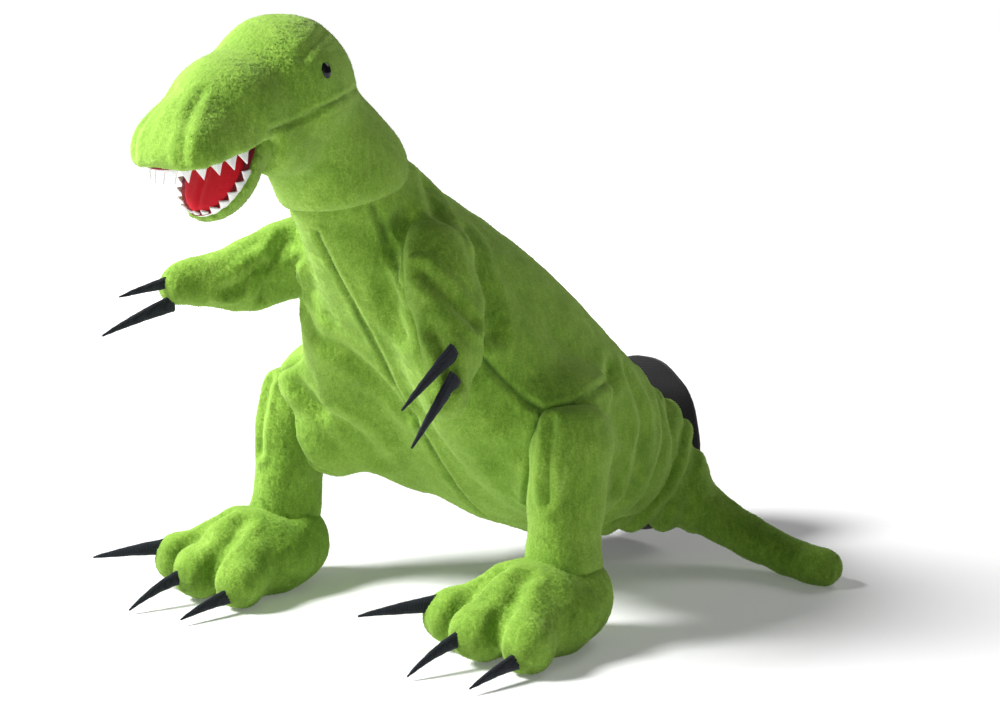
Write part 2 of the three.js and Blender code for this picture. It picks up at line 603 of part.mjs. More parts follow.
function foot(side) {
  const { name, back } = legSide(side);
  const sole = -ANKLE_HEIGHT;
  const socket = egg(ANKLE + LOOSE, ANKLE + LOOSE, ANKLE + LOOSE, [0, 0, 0], [0, 0, 0], 14);
  const aboveAnkle = block([-90, -90, -1], [90, 90, 90]);
  const walls = block([-90, -130, sole + SOLE + GAP], [90, 90, 90]);
  const outer = footForm(0).subtract(aboveAnkle).subtract(socket);
  const skin = outer.subtract(footForm(PLUSH)).intersect(walls);
  const filled = footForm(PLUSH + LOOSE).subtract(aboveAnkle).intersect(walls)
    .subtract(egg(ANKLE + 2 * LOOSE, ANKLE + 2 * LOOSE, ANKLE + 2 * LOOSE, [0, 0, 0], [0, 0, 0], 10));
  const plate = footForm(0).intersect(block([-90, -130, sole], [90, 90, sole + SOLE]));
  const claws = [-1, 0, 1].map((spot) => {
    const fan = degrees(spot * TOE_FAN);
    const reach = TOE_REACH + TOE.long + 2 * LOOSE;
    const label = ['inner', 'middle', 'outer'][1 + spot * side];
    const felt = piece(`${name}_foot_claw_${label}`, claw(FOOT_CLAW, 11), 'black_felt');
    felt.rotation.order = 'ZXY';
    felt.position.set(reach * Math.sin(fan), -reach * Math.cos(fan), sole + TOE.high + 2 - spot * CLAW_ROLL);
    felt.rotation.set(degrees(CLAW_DIP * (1 + spot)), degrees(90), degrees(spot * CLAW_FAN));
    return felt;
  });
  return group([side * (HIP.out + LEG_SPREAD), back - STEP, ANKLE_HEIGHT], [0, 0, FOOT_TURN],
    piece(`${name}_foot_skin`, skin, 'plush'),
    piece(`${name}_foot_stuffing`, filled, 'stuffing'),
    piece(`${name}_foot_sole`, plate, 'plush'),
    ...claws);
}

// ---------------------------------------------------------------- tail

const tailTube = new SoftTube(TAIL, true);

// Cuts the tail's root square to the rear opening, with room to swing towards the sleeve.
function rootCut() {
  const rear = spine.frame(REAR);
  const lean = THREE.MathUtils.radToDeg(Math.atan2(rear.along.z, -rear.along.y));
  const edge = TAIL[0].out + TAIL[0].half;
  const turned = new THREE.Matrix4().makeRotationX(degrees(-lean))
    .multiply(new THREE.Matrix4().makeRotationZ(degrees(-TAIL_SWING_ROOM)));
  const box = new THREE.BoxGeometry(300, 120, 300);
  box.translate(0, -60 + 1.2, 0);
  box.applyMatrix4(turned);
  box.translate(edge, rear.at.y, rear.at.z);
  return toSolid(box);
}

function tail() {
  const base = tailTube.solid({ to: TAIL_FOLD, rings: 5, sides: 16, overshoot: [8, 0] })
    .subtract(tailTube.solid({ to: TAIL_FOLD, rings: 5, sides: 16, inset: PLUSH, overshoot: [16, 6] }))
    .subtract(rootCut());
  const fold = tailTube.frame(TAIL_FOLD).at;
  const ballRadius = TAIL[TAIL_FOLD].half - PLUSH - LOOSE;
  const ball = egg(ballRadius, ballRadius, ballRadius, fold.toArray(), [0, 0, 0], 12);
  const shaft = (inset, from, to) => tailTube.solid({ from, to, rings: 7, sides: 12, inset });
  const full = shaft(0, TAIL_FOLD + 0.55, tailTube.last).add(ball)
    .add(tailTube.solid({ from: TAIL_FOLD, to: TAIL_FOLD + 0.6, rings: 2, sides: 12, inset: 4.2 }));
  const ballInner = egg(ballRadius - PLUSH, ballRadius - PLUSH, ballRadius - PLUSH, fold.toArray(), [0, 0, 0], 10);
  const hollow = shaft(PLUSH, TAIL_FOLD + 0.6, tailTube.last - 0.6)
    .add(tailTube.solid({ from: TAIL_FOLD - 1.6, to: TAIL_FOLD + 0.65, rings: 4, sides: 10, inset: 10 }))
    .add(ballInner);
  const filling = shaft(PLUSH + GAP + 0.3, TAIL_FOLD + 0.8, tailTube.last - 0.8)
    .add(tailTube.solid({ from: TAIL_FOLD - 0.2, to: TAIL_FOLD + 0.85, rings: 3, sides: 10, inset: 11 }));
  return [
    piece('tail_base_skin', base, 'plush'),
    piece('tail_skin', full.subtract(hollow), 'plush'),
    piece('tail_stuffing', filling, 'stuffing'),
  ];
}

// ---------------------------------------------------------------- assembly

const puppet = new THREE.Group();
puppet.add(...torso(), ...neck(), head(), jaw());
puppet.add(arm(1, LEFT_ARM_DROP, LEFT_CLAW_RAISE), arm(-1, RIGHT_ARM_DROP, RIGHT_CLAW_RAISE));
for (const side of [1, -1]) puppet.add(...leg(side), foot(side));
puppet.add(...tail());

// The origin lies on the floor, under the middle of the whole puppet.
puppet.updateMatrixWorld(true);
const bounds = new THREE.Box3().setFromObject(puppet, true);
const centre = bounds.getCenter(new THREE.Vector3());
puppet.position.set(-centre.x, -centre.y, -bounds.min.z);

export default puppet;
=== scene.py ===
"""Plush dinosaur hand puppet: looks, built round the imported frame. Metres, +Z up.

The dinosaur faces -Y and its own left side is +X. Places come from the frame's joints and boxes.
Each plush piece is lofted or swelled from soft forms, merged, puffed, seamed and given its pile.
"""
import json
import math

import bmesh
import bpy
import numpy as np
from mathutils import Matrix, Vector, noise


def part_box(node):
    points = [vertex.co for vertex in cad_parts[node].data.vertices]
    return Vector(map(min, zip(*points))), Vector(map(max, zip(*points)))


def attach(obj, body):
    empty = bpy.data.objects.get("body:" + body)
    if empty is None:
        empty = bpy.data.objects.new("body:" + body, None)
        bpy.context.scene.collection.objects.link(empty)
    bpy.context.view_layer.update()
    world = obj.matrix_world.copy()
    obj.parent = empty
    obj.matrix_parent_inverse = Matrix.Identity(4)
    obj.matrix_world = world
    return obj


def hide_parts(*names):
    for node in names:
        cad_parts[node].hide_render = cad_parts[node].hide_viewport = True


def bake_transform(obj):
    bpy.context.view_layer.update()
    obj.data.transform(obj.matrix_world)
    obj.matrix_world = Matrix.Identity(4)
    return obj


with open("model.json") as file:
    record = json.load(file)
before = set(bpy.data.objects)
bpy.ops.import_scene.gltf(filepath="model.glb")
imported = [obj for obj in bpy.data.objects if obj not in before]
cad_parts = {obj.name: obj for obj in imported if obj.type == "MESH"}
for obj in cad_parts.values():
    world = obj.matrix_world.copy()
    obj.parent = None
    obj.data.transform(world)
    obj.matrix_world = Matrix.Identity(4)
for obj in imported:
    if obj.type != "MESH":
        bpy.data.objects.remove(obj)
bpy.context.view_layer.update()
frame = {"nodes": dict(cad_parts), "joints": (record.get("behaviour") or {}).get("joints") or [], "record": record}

# ---------------------------------------------------------------- places taken from the frame

JOINT = {row["name"]: Vector(row["pos_m"]) for row in frame["joints"]}
AXIS = {row["name"]: Vector(row["axis"]).normalized() for row in frame["joints"]}
NECK_SEAM = JOINT["neck_turn"]
NECK_UP = AXIS["neck_turn"]
NECK_TOP = JOINT["head_nod"]
MOUTH = JOINT["jaw_open"]
SIDES = {"left": 1, "right": -1}

LIP_PITCH = math.radians(17)          # the upper lip slopes down ahead of the mouth corners
JAW_PITCH = math.radians(60)          # and the open lower jaw hangs down
HEAD_FRAME = Matrix.Translation(MOUTH) @ Matrix.Rotation(LIP_PITCH, 4, "X")
JAW_FRAME = Matrix.Translation(MOUTH) @ Matrix.Rotation(JAW_PITCH, 4, "X")

MM = 0.001
SHOULDER_LINE = NECK_SEAM - Vector((0, -12, 277)) * MM    # the puppet's own zero, under the shoulders


def spot(out, back, height):
    """A place in the puppet's own frame, in millimetres: sideways, behind the shoulders, above the ground."""
    return SHOULDER_LINE + Vector((out, back, height)) * MM


PILE = 0.0007                         # height of the modelled pile
PUFF_FRAMES = 20                      # steps of each cloth simulation


# ---------------------------------------------------------------- mesh helpers

def new_object(name, bm):
    mesh = bpy.data.meshes.new(name)
    bm.to_mesh(mesh)
    bm.free()
    piece = bpy.data.objects.new(name, mesh)
    bpy.context.scene.collection.objects.link(piece)
    return piece


def apply_modifiers(piece):
    """Replaces the piece's mesh by what its modifiers make of it."""
    bpy.context.view_layer.update()
    graph = bpy.context.evaluated_depsgraph_get()
    finished = bpy.data.meshes.new_from_object(piece.evaluated_get(graph))
    piece.modifiers.clear()
    old = piece.data
    piece.data = finished
    bpy.data.meshes.remove(old)


def smooth_curve(stations, count):
    """Stations resampled along a Catmull-Rom curve through them."""
    rows = [np.array(row, float) for row in stations]
    rows = [2 * rows[0] - rows[1]] + rows + [2 * rows[-1] - rows[-2]]
    spans = len(rows) - 3
    made = []
    for step in range(count):
        place = step / (count - 1) * spans
        k = min(int(place), spans - 1)
        t = place - k
        a, b, c, d = rows[k:k + 4]
        made.append(0.5 * (2 * b + (c - a) * t + (2 * a - 5 * b + 4 * c - d) * t ** 2
                           + (3 * b - a - 3 * c + d) * t ** 3))
    return made


def loft(bm, stations, sides=32, rings=24, level=False, closed=True):
    """A tube through stations (x, y, z, half width, half depth). A level tube keeps its width level."""
    rows = smooth_curve(stations, rings)
    loops = []
    for k, row in enumerate(rows):
        along = Vector(rows[min(k + 1, rings - 1)][:3]) - Vector(rows[max(k - 1, 0)][:3])
        along.normalize()
        if level:
            side = Vector((0, 0, 1)).cross(along).normalized()
        else:
            side = (Vector((1, 0, 0)) - along * along.x).normalized()
        depth = along.cross(side)
        place = Matrix.Translation(Vector(row[:3]))
        axes = Matrix((side * row[3], depth * row[4], along)).transposed().to_4x4()
        ring = bmesh.ops.create_circle(bm, segments=sides, radius=1, matrix=place @ axes)["verts"]
        loops.append(list({edge for vert in ring for edge in vert.link_edges}))
    for first, second in zip(loops, loops[1:]):
        bmesh.ops.bridge_loops(bm, edges=first + second)
    if closed:
        for end in (loops[0], loops[-1]):
            bmesh.ops.edgeloop_fill(bm, edges=end)


def ball(bm, centre, radii, frame_matrix=Matrix.Identity(4), turn=0.0):
    """An ellipsoid, placed in a frame and turned about that frame's Z."""
    place = frame_matrix @ Matrix.Translation(Vector(centre)) @ Matrix.Rotation(turn, 4, "Z")
    size = Matrix.Diagonal((*radii, 1))
    bmesh.ops.create_uvsphere(bm, u_segments=32, v_segments=20, radius=1, matrix=place @ size)


def solid_form(name, bm):
    bmesh.ops.recalc_face_normals(bm, faces=bm.faces)
    return new_object(name, bm)


def cut(piece, bm):
    """Takes the closed form in bm away from the piece."""
    cutter = solid_form(piece.name + "_cut", bm)
    knife = piece.modifiers.new("cut", "BOOLEAN")
    knife.operation = "DIFFERENCE"
    knife.solver = "EXACT"
    knife.use_self = True
    knife.object = cutter
    apply_modifiers(piece)
    bpy.data.objects.remove(cutter)


def block(bm, frame_matrix, low, high):
    """A box between two corners of a frame."""
    low, high = Vector(low), Vector(high)
    size = Matrix.Diagonal((*(high - low), 1))
    bmesh.ops.create_cube(bm, size=1, matrix=frame_matrix @ Matrix.Translation((low + high) / 2) @ size)


def merge_forms(piece, voxel, rounds):
    """Makes one closed skin of the overlapping forms, and eases the joins between them."""
    remesh = piece.modifiers.new("merge", "REMESH")
    remesh.mode = "VOXEL"
    remesh.voxel_size = voxel
    apply_modifiers(piece)
    bm = bmesh.new()
    bm.from_mesh(piece.data)
    for _ in range(rounds):
        bmesh.ops.smooth_vert(
            bm, verts=bm.verts, factor=0.5, use_axis_x=True, use_axis_y=True, use_axis_z=True)
    bm.to_mesh(piece.data)
    bm.free()


def coordinates(piece):
    flat = np.zeros(len(piece.data.vertices) * 3)
    piece.data.vertices.foreach_get("co", flat)
    return flat.reshape(-1, 3)


def normals(piece):
    flat = np.zeros(len(piece.data.vertices) * 3)
    piece.data.vertices.foreach_get("normal", flat)
    return flat.reshape(-1, 3)


def set_coordinates(piece, places):
    piece.data.vertices.foreach_set("co", places.ravel())
    piece.data.update()


def puff(piece, pressure, cap):
    """Swells the skin as a stuffed bag of cloth; no point moves further than cap."""
    start = coordinates(piece)
    cloth = piece.modifiers.new("cloth", "CLOTH")
    settings = cloth.settings
    settings.quality = 6
    settings.mass = 0.3
    settings.use_pressure = True
    settings.uniform_pressure_force = pressure
    settings.tension_stiffness = 12
    settings.compression_stiffness = 12
    settings.shear_stiffness = 6
    settings.bending_stiffness = 0.4
    settings.effector_weights.gravity = 0
    cloth.collision_settings.use_collision = False
    cloth.point_cache.frame_start = 1
    cloth.point_cache.frame_end = PUFF_FRAMES
    scene = bpy.context.scene
    for number in range(1, PUFF_FRAMES + 1):
        scene.frame_set(number)
    apply_modifiers(piece)
    scene.frame_set(1)
    moved = coordinates(piece) - start
    length = np.linalg.norm(moved, axis=1, keepdims=True)
    set_coordinates(piece, start + moved * np.minimum(1, cap / np.maximum(length, 1e-9)))


def refine(piece):
    subdivision = piece.modifiers.new("refine", "SUBSURF")
    subdivision.levels = subdivision.render_levels = 1
    apply_modifiers(piece)


def distance_to_path(places, path):
    """How far each point lies from a polyline."""
    nearest = np.full(len(places), 1e9)
    for start, end in zip(path, path[1:]):
        a, b = np.array(start, float), np.array(end, float)
        along = b - a
        share = np.clip(((places - a) @ along) / max(along @ along, 1e-12), 0, 1)
        nearest = np.minimum(nearest, np.linalg.norm(places - (a + share[:, None] * along), axis=1))
    return nearest


def laid_on(places, path, step=0.004):
    """The path, given in the puppet's own frame, walked in short steps and dropped on the nearest points."""
    line = []
    for start, end in zip(path, path[1:]):
        start, end = spot(*start), spot(*end)
        count = max(1, round((end - start).length / step))
        line += [start.lerp(end, k / count) for k in range(count)]
    line.append(spot(*path[-1]))
    line = np.array([places[np.argmin(np.linalg.norm(places - np.array(point), axis=1))] for point in line])
    for _ in range(3):
        line[1:-1] = (line[:-2] + line[1:-1] + line[2:]) / 3
    return line


def furrow(piece, away, depth, width, shoulder=0.35):
    """Sinks a soft line where away is small, and lifts the cloth a little on both sides of it."""
    groove = np.exp(-(away / width) ** 2)
    banks = np.exp(-((away - 2.2 * width) / width) ** 2)
    shift = depth * (shoulder * banks - groove)
    set_coordinates(piece, coordinates(piece) + normals(piece) * shift[:, None])


def sew(piece, path, depth, width, shoulder=0.35):
    """A seam or a fold along a path given in the puppet's own frame; depth and width in millimetres."""
    places = coordinates(piece)
    furrow(piece, distance_to_path(places, laid_on(places, path)), depth * MM, width * MM, shoulder)


def paint_seam_shade(piece, paths, width=1.5):
    """Notes how near every point lies to a seam, so the material can darken the colour there as painted shade in
    the seam grooves.
    """
    places = coordinates(piece)
    seam_shade_mask = np.zeros(len(places))
    for path in paths:
        away = distance_to_path(places, laid_on(places, path))
        seam_shade_mask = np.maximum(seam_shade_mask, np.exp(-(away / (width * MM)) ** 2))
    layer = piece.data.attributes.new("seam_shade", "FLOAT", "POINT")
    layer.data.foreach_set("value", seam_shade_mask)


def add_waves(piece, height, length, seed=0.0, stretch=(1, 1, 1)):
    """Uneven swells in the cloth, from smooth noise."""
    places = coordinates(piece)
    offset = Vector((seed, seed * 1.7, seed * 2.3))
    shift = np.array([
        noise.noise(Vector((p[0] * stretch[0], p[1] * stretch[1], p[2] * stretch[2])) / length + offset)
        for p in places])
    set_coordinates(piece, places + normals(piece) * (shift * height)[:, None])


def raise_pile(piece, nap=(0.2, 0.5, -1.0), height=PILE):
    """Turns every small face into a tuft that leans with the nap."""
    bm = bmesh.new()
    bm.from_mesh(piece.data)
    tips = bmesh.ops.poke(bm, faces=bm.faces, offset=height, center_mode="MEAN_WEIGHTED")["verts"]
    lean = Vector(nap).normalized() * height
    noise.seed_set(7)
    for tip in tips:
        wave = 0.7 + 0.6 * noise.noise(tip.co * 160)
        tip.co += lean * wave + noise.random_unit_vector() * height * 0.45
    for face in bm.faces:
        face.smooth = True
    bm.to_mesh(piece.data)
    bm.free()


def shade_smooth(piece):
    piece.data.polygons.foreach_set("use_smooth", [True] * len(piece.data.polygons))


# ---------------------------------------------------------------- materials

def new_material(name):
    material = bpy.data.materials.new(name)
    material.use_nodes = True
    tree = material.node_tree
    return material, tree, tree.nodes["Principled BSDF"]


def add_node(tree, kind, **settings):
    made = tree.nodes.new(kind)
    for key, value in settings.items():
        if key in made.inputs.keys():
            made.inputs[key].default_value = value
        else:
            setattr(made, key, value)
    return made


def object_coordinates(tree):
    return add_node(tree, "ShaderNodeTexCoord").outputs["Object"]


def pile_group():
    """Brushed pile: broad light and dark patches, fine streaks along the nap, and the grain of the tufts."""
    group = bpy.data.node_groups.new("brushed_pile", "ShaderNodeTree")
    sockets = group.interface
    sockets.new_socket("Vector", in_out="INPUT", socket_type="NodeSocketVector")
    sockets.new_socket("Patch Scale", in_out="INPUT", socket_type="NodeSocketFloat")
    sockets.new_socket("Tuft Scale", in_out="INPUT", socket_type="NodeSocketFloat")
    sockets.new_socket("Shade", in_out="OUTPUT", socket_type="NodeSocketFloat")
    sockets.new_socket("Height", in_out="OUTPUT", socket_type="NodeSocketFloat")
    start = add_node(group, "NodeGroupInput")
    end = add_node(group, "NodeGroupOutput")
    link = group.links.new
    patches = add_node(group, "ShaderNodeTexNoise", Detail=3.0, Roughness=0.55, Distortion=0.6)
    link(start.outputs["Vector"], patches.inputs["Vector"])
    link(start.outputs["Patch Scale"], patches.inputs["Scale"])
    stretched = add_node(group, "ShaderNodeMapping", Scale=(1.0, 1.0, 0.28), Rotation=(0.7, 0.0, 0.0))
    link(start.outputs["Vector"], stretched.inputs["Vector"])
    streaks = add_node(group, "ShaderNodeTexNoise", Detail=4.0, Roughness=0.65, Distortion=0.3)
    link(stretched.outputs["Vector"], streaks.inputs["Vector"])
    half_scale = add_node(group, "ShaderNodeMath", operation="MULTIPLY")
    half_scale.inputs[1].default_value = 0.45
    link(start.outputs["Tuft Scale"], half_scale.inputs[0])
    link(half_scale.outputs[0], streaks.inputs["Scale"])
    tufts = add_node(group, "ShaderNodeTexNoise", Detail=2.0, Roughness=0.7)
    link(start.outputs["Vector"], tufts.inputs["Vector"])
    link(start.outputs["Tuft Scale"], tufts.inputs["Scale"])
    first = add_node(group, "ShaderNodeMix", data_type="FLOAT")
    first.inputs[0].default_value = 0.45
    link(patches.outputs["Fac"], first.inputs[2])
    link(streaks.outputs["Fac"], first.inputs[3])
    second = add_node(group, "ShaderNodeMix", data_type="FLOAT")
    second.inputs[0].default_value = 0.35
    link(first.outputs[0], second.inputs[2])
    link(tufts.outputs["Fac"], second.inputs[3])
    link(second.outputs[0], end.inputs["Shade"])
    grain = add_node(group, "ShaderNodeMix", data_type="FLOAT")
    grain.inputs[0].default_value = 0.5
    link(streaks.outputs["Fac"], grain.inputs[2])
    link(tufts.outputs["Fac"], grain.inputs[3])
    link(grain.outputs[0], end.inputs["Height"])
    return group


def weave_group():
    """Fine cloth: crossed threads with a little unevenness."""
    group = bpy.data.node_groups.new("fine_weave", "ShaderNodeTree")
    sockets = group.interface
    sockets.new_socket("Vector", in_out="INPUT", socket_type="NodeSocketVector")
    sockets.new_socket("Thread Scale", in_out="INPUT", socket_type="NodeSocketFloat")
    sockets.new_socket("Shade", in_out="OUTPUT", socket_type="NodeSocketFloat")
    sockets.new_socket("Height", in_out="OUTPUT", socket_type="NodeSocketFloat")
    start = add_node(group, "NodeGroupInput")
    end = add_node(group, "NodeGroupOutput")
    link = group.links.new
    threads = []
    for direction in ("X", "Z"):
        wave = add_node(
            group, "ShaderNodeTexWave", wave_type="BANDS", bands_direction=direction, Distortion=0.8)
        link(start.outputs["Vector"], wave.inputs["Vector"])
        link(start.outputs["Thread Scale"], wave.inputs["Scale"])
        threads.append(wave)
    crossed = add_node(group, "ShaderNodeMath", operation="MULTIPLY")
    link(threads[0].outputs["Fac"], crossed.inputs[0])
    link(threads[1].outputs["Fac"], crossed.inputs[1])
    fuzz = add_node(group, "ShaderNodeTexNoise", Scale=420.0, Detail=3.0, Roughness=0.7)
    link(start.outputs["Vector"], fuzz.inputs["Vector"])
    both = add_node(group, "ShaderNodeMix", data_type="FLOAT")
    both.inputs[0].default_value = 0.55
    link(crossed.outputs[0], both.inputs[2])
    link(fuzz.outputs["Fac"], both.inputs[3])
    link(both.outputs[0], end.inputs["Shade"])
    link(both.outputs[0], end.inputs["Height"])
    return group


def colour_ramp(tree, factor, stops):
    ramp = add_node(tree, "ShaderNodeValToRGB")
    elements = ramp.color_ramp.elements
    while len(elements) < len(stops):
        elements.new(0.5)
    for element, (position, colour) in zip(elements, stops):
        element.position = position
        element.color = (*colour, 1)
    tree.links.new(factor, ramp.inputs["Fac"])
    return ramp.outputs["Color"]


def add_bump(tree, shader, height, strength, distance):
    bump = add_node(tree, "ShaderNodeBump", Strength=strength, Distance=distance)
    tree.links.new(height, bump.inputs["Height"])
    tree.links.new(bump.outputs["Normal"], shader.inputs["Normal"])


def plush_material(group):
    material, tree, shader = new_material("green_plush")
    pile = add_node(tree, "ShaderNodeGroup", node_tree=group)
    pile.inputs["Patch Scale"].default_value = 30.0
    pile.inputs["Tuft Scale"].default_value = 760.0
    tree.links.new(object_coordinates(tree), pile.inputs["Vector"])
    body = colour_ramp(tree, pile.outputs["Shade"], [
        (0.32, (0.068, 0.165, 0.009)), (0.46, (0.140, 0.280, 0.020)), (0.56, (0.215, 0.385, 0.040)),
        (0.68, (0.370, 0.570, 0.110))])
    # Painted shade: near the seams the colour is mixed towards a deep green, standing in for the shade in the seam
    # grooves.
    seam_shade_mask = add_node(tree, "ShaderNodeAttribute", attribute_name="seam_shade")
    seam_shaded = add_node(tree, "ShaderNodeMix", data_type="RGBA")
    tree.links.new(seam_shade_mask.outputs["Fac"], seam_shaded.inputs[0])
    tree.links.new(body, seam_shaded.inputs[6])
    seam_shaded.inputs[7].default_value = (0.030, 0.090, 0.004, 1)
    body = seam_shaded.outputs[2]
    # Painted sheen: where the surface is seen at a grazing angle, the colour is mixed towards a pale green.
    rim = add_node(tree, "ShaderNodeLayerWeight", Blend=0.22)
    grazing_sheen = add_node(tree, "ShaderNodeMix", data_type="RGBA")
    tree.links.new(rim.outputs["Facing"], grazing_sheen.inputs[0])
    tree.links.new(body, grazing_sheen.inputs[6])
    grazing_sheen.inputs[7].default_value = (0.36, 0.58, 0.10, 1)
    tree.links.new(grazing_sheen.outputs[2], shader.inputs["Base Color"])
    shader.inputs["Roughness"].default_value = 0.92
    shader.inputs["Specular IOR Level"].default_value = 0.40
    shader.inputs["Sheen Weight"].default_value = 0.12
    shader.inputs["Sheen Roughness"].default_value = 0.45
    shader.inputs["Sheen Tint"].default_value = (0.75, 1.0, 0.45, 1)
    add_bump(tree, shader, pile.outputs["Height"], 0.55, 0.0016)
    return material


def cloth_material(name, group, dark, light, threads, roughness=0.85, sheen=0.1, strength=0.35):
    material, tree, shader = new_material(name)
    weave = add_node(tree, "ShaderNodeGroup", node_tree=group)
    weave.inputs["Thread Scale"].default_value = threads
    tree.links.new(object_coordinates(tree), weave.inputs["Vector"])
    colour = colour_ramp(tree, weave.outputs["Shade"], [(0.2, dark), (0.75, light)])
    tree.links.new(colour, shader.inputs["Base Color"])
    shader.inputs["Roughness"].default_value = roughness
    shader.inputs["Specular IOR Level"].default_value = 0.25
    shader.inputs["Sheen Weight"].default_value = sheen
    add_bump(tree, shader, weave.outputs["Height"], strength, 0.0006)
    return material


def eye_material():
    material, tree, shader = new_material("polished_eye")
    haze = add_node(tree, "ShaderNodeTexNoise", Scale=260.0, Detail=2.0)
    tree.links.new(object_coordinates(tree), haze.inputs["Vector"])
    colour = colour_ramp(tree, haze.outputs["Fac"], [
        (0.3, (0.002, 0.002, 0.003)), (0.8, (0.006, 0.006, 0.008))])
    tree.links.new(colour, shader.inputs["Base Color"])
    shader.inputs["Roughness"].default_value = 0.10
    shader.inputs["Specular IOR Level"].default_value = 0.35
    return material


def stuffing_material():
    material, tree, shader = new_material("stuffing_fibre")
    fibre = add_node(tree, "ShaderNodeTexNoise", Scale=320.0, Detail=6.0, Roughness=0.75)
    tree.links.new(object_coordinates(tree), fibre.inputs["Vector"])
    colour = colour_ramp(tree, fibre.outputs["Fac"], [(0.3, (0.62, 0.61, 0.57)), (0.7, (0.9, 0.89, 0.86))])
    tree.links.new(colour, shader.inputs["Base Color"])
    shader.inputs["Roughness"].default_value = 0.95
    add_bump(tree, shader, fibre.outputs["Fac"], 0.6, 0.002)
    return material


PILE_GROUP = pile_group()
WEAVE_GROUP = weave_group()
MATERIAL = {
    "green_plush": plush_material(PILE_GROUP),
    "black_felt": cloth_material(
        "black_felt", WEAVE_GROUP, (0.006, 0.008, 0.012), (0.022, 0.027, 0.038), 300, 0.8),
    "white_felt": cloth_material(
        "white_felt", WEAVE_GROUP, (0.72, 0.72, 0.70), (0.92, 0.92, 0.90), 300, 0.85),
    # Mouth lining: red cloth, given a colour darker than its own as painted shade inside the mouth.
    "mouth_cloth": cloth_material(
        "mouth_cloth", WEAVE_GROUP, (0.12, 0.002, 0.010), (0.26, 0.005, 0.020), 380, 0.7, 0.05),
    "tongue_cloth": cloth_material(
        "tongue_cloth", WEAVE_GROUP, (0.55, 0.004, 0.014), (0.80, 0.010, 0.030), 380, 0.7, 0.05),
    "black_sleeve": cloth_material(
        "black_sleeve", WEAVE_GROUP, (0.004, 0.004, 0.005), (0.013, 0.013, 0.015), 260, 0.8),
    "stuffing": stuffing_material(),
    "eye_gloss": eye_material(),
    "washer_plastic": cloth_material(
        "washer_plastic", WEAVE_GROUP, (0.70, 0.70, 0.68), (0.82, 0.82, 0.80), 60, 0.45, 0, 0.08),
    "stiffener_board": cloth_material(
        "stiffener_board", WEAVE_GROUP, (0.38, 0.28, 0.17), (0.55, 0.42, 0.26), 120, 0.9, 0, 0.3),
}


def dress(piece, slot):
    """Gives the piece the material of the given slot, and smooth shading."""
    piece.data.materials.clear()
    piece.data.materials.append(MATERIAL[slot])
    shade_smooth(piece)


def dress_frame_nodes():
    for row in frame["record"]["subparts"]:
        node = frame["nodes"][row["node"]]
        node.data.materials.clear()
        node.data.materials.append(MATERIAL[row["material_slot"]])


# ---------------------------------------------------------------- seams and folds
# Paths over the surface: out, back, height, in millimetres in the puppet's own frame.

STRIDE = 12                # the left leg stands this far back, the right leg this far forward


def mirrored(path, step=0):
    """The same path on the right side, moved forward by step."""
    return [(-out, back - step, height) for out, back, height in path]


CENTRE_SEAM = [
    (2, -40, 270), (4, -40, 243), (6, -33, 225), (7, -21, 205), (7, -6, 183), (5, 15, 154), (5, 36, 124),
    (4, 59, 93), (2, 95, 60), (0, 150, 40), (0, 200, 30)]
FLANK_SEAM = [
    (37, -35, 279), (36, -25, 263), (39, -21, 247), (43, -22, 237), (70, 0, 205), (86, 23, 173),
    (93, 33, 161), (108, 39, 150), (118, 46, 151), (122, 61, 155), (121, 80, 160), (104, 104, 158)]
GROIN_SEAM = [(108, 39, 150), (105, 37, 130), (98, 40, 106), (80, 60, 84)]
TORSO_SEAMS = [
    CENTRE_SEAM, FLANK_SEAM, GROIN_SEAM, mirrored(FLANK_SEAM, 2 * STRIDE), mirrored(GROIN_SEAM, 2 * STRIDE)]

NAPE_FOLD = [(27, 18, 287), (44, 12, 272), (62, 10, 258)]
BACK_FOLD = [(59, 27, 263), (71, 23, 243), (77, 24, 223), (82, 22, 201)]
HIP_FOLD = [(92, 126, 162), (104, 104, 149), (110, 92, 130), (98, 116, 108), (90, 136, 86)]
SKIRT_FOLD = [(86, 150, 156), (93, 159, 138), (94, 162, 120), (93, 157, 100), (82, 158, 74), (60, 160, 52)]
HEM_FOLD = [(60, 209, 136), (80, 198, 122), (83, 198, 104), (84, 187, 83), (71, 187, 60)]
TORSO_FOLDS = [
    [(-56, -4, 200), (-46, -8, 187), (-27, -5, 180), (-17, 3, 170), (-9, 13, 157), (2, 28, 134)],
    [(-83, 11, 145), (-73, 15, 134), (-58, 13, 128), (-49, 20, 119), (-43, 28, 112), (-46, 48, 91)],
    [(33, -20, 235), (31, -17, 222), (31, -15, 211), (38, -13, 197)],
    [(38, -11, 270), (41, -18, 255), (44, -21, 245)],
    NAPE_FOLD, BACK_FOLD, HIP_FOLD, SKIRT_FOLD, HEM_FOLD,
    mirrored(NAPE_FOLD), mirrored(BACK_FOLD), mirrored(HIP_FOLD), mirrored(SKIRT_FOLD), mirrored(HEM_FOLD)]

CHEEK_SEAM = [
    (37, -119, 331), (38, -107, 334), (40, -95, 337), (44, -83, 343), (42, -65, 349), (30, -48, 352)]
HEAD_SEAMS = [CHEEK_SEAM, mirrored(CHEEK_SEAM)]
BROW_FOLD = [(37, -93, 373), (36, -87, 377), (35, -80, 381), (24, -62, 387)]
NOSE_FOLD = [
    (13, -150, 352), (15, -156, 348), (16, -163, 343), (19, -168, 336), (21, -173, 328), (22, -174, 316)]
HEAD_FOLDS = [BROW_FOLD, NOSE_FOLD, mirrored(BROW_FOLD), mirrored(NOSE_FOLD)]

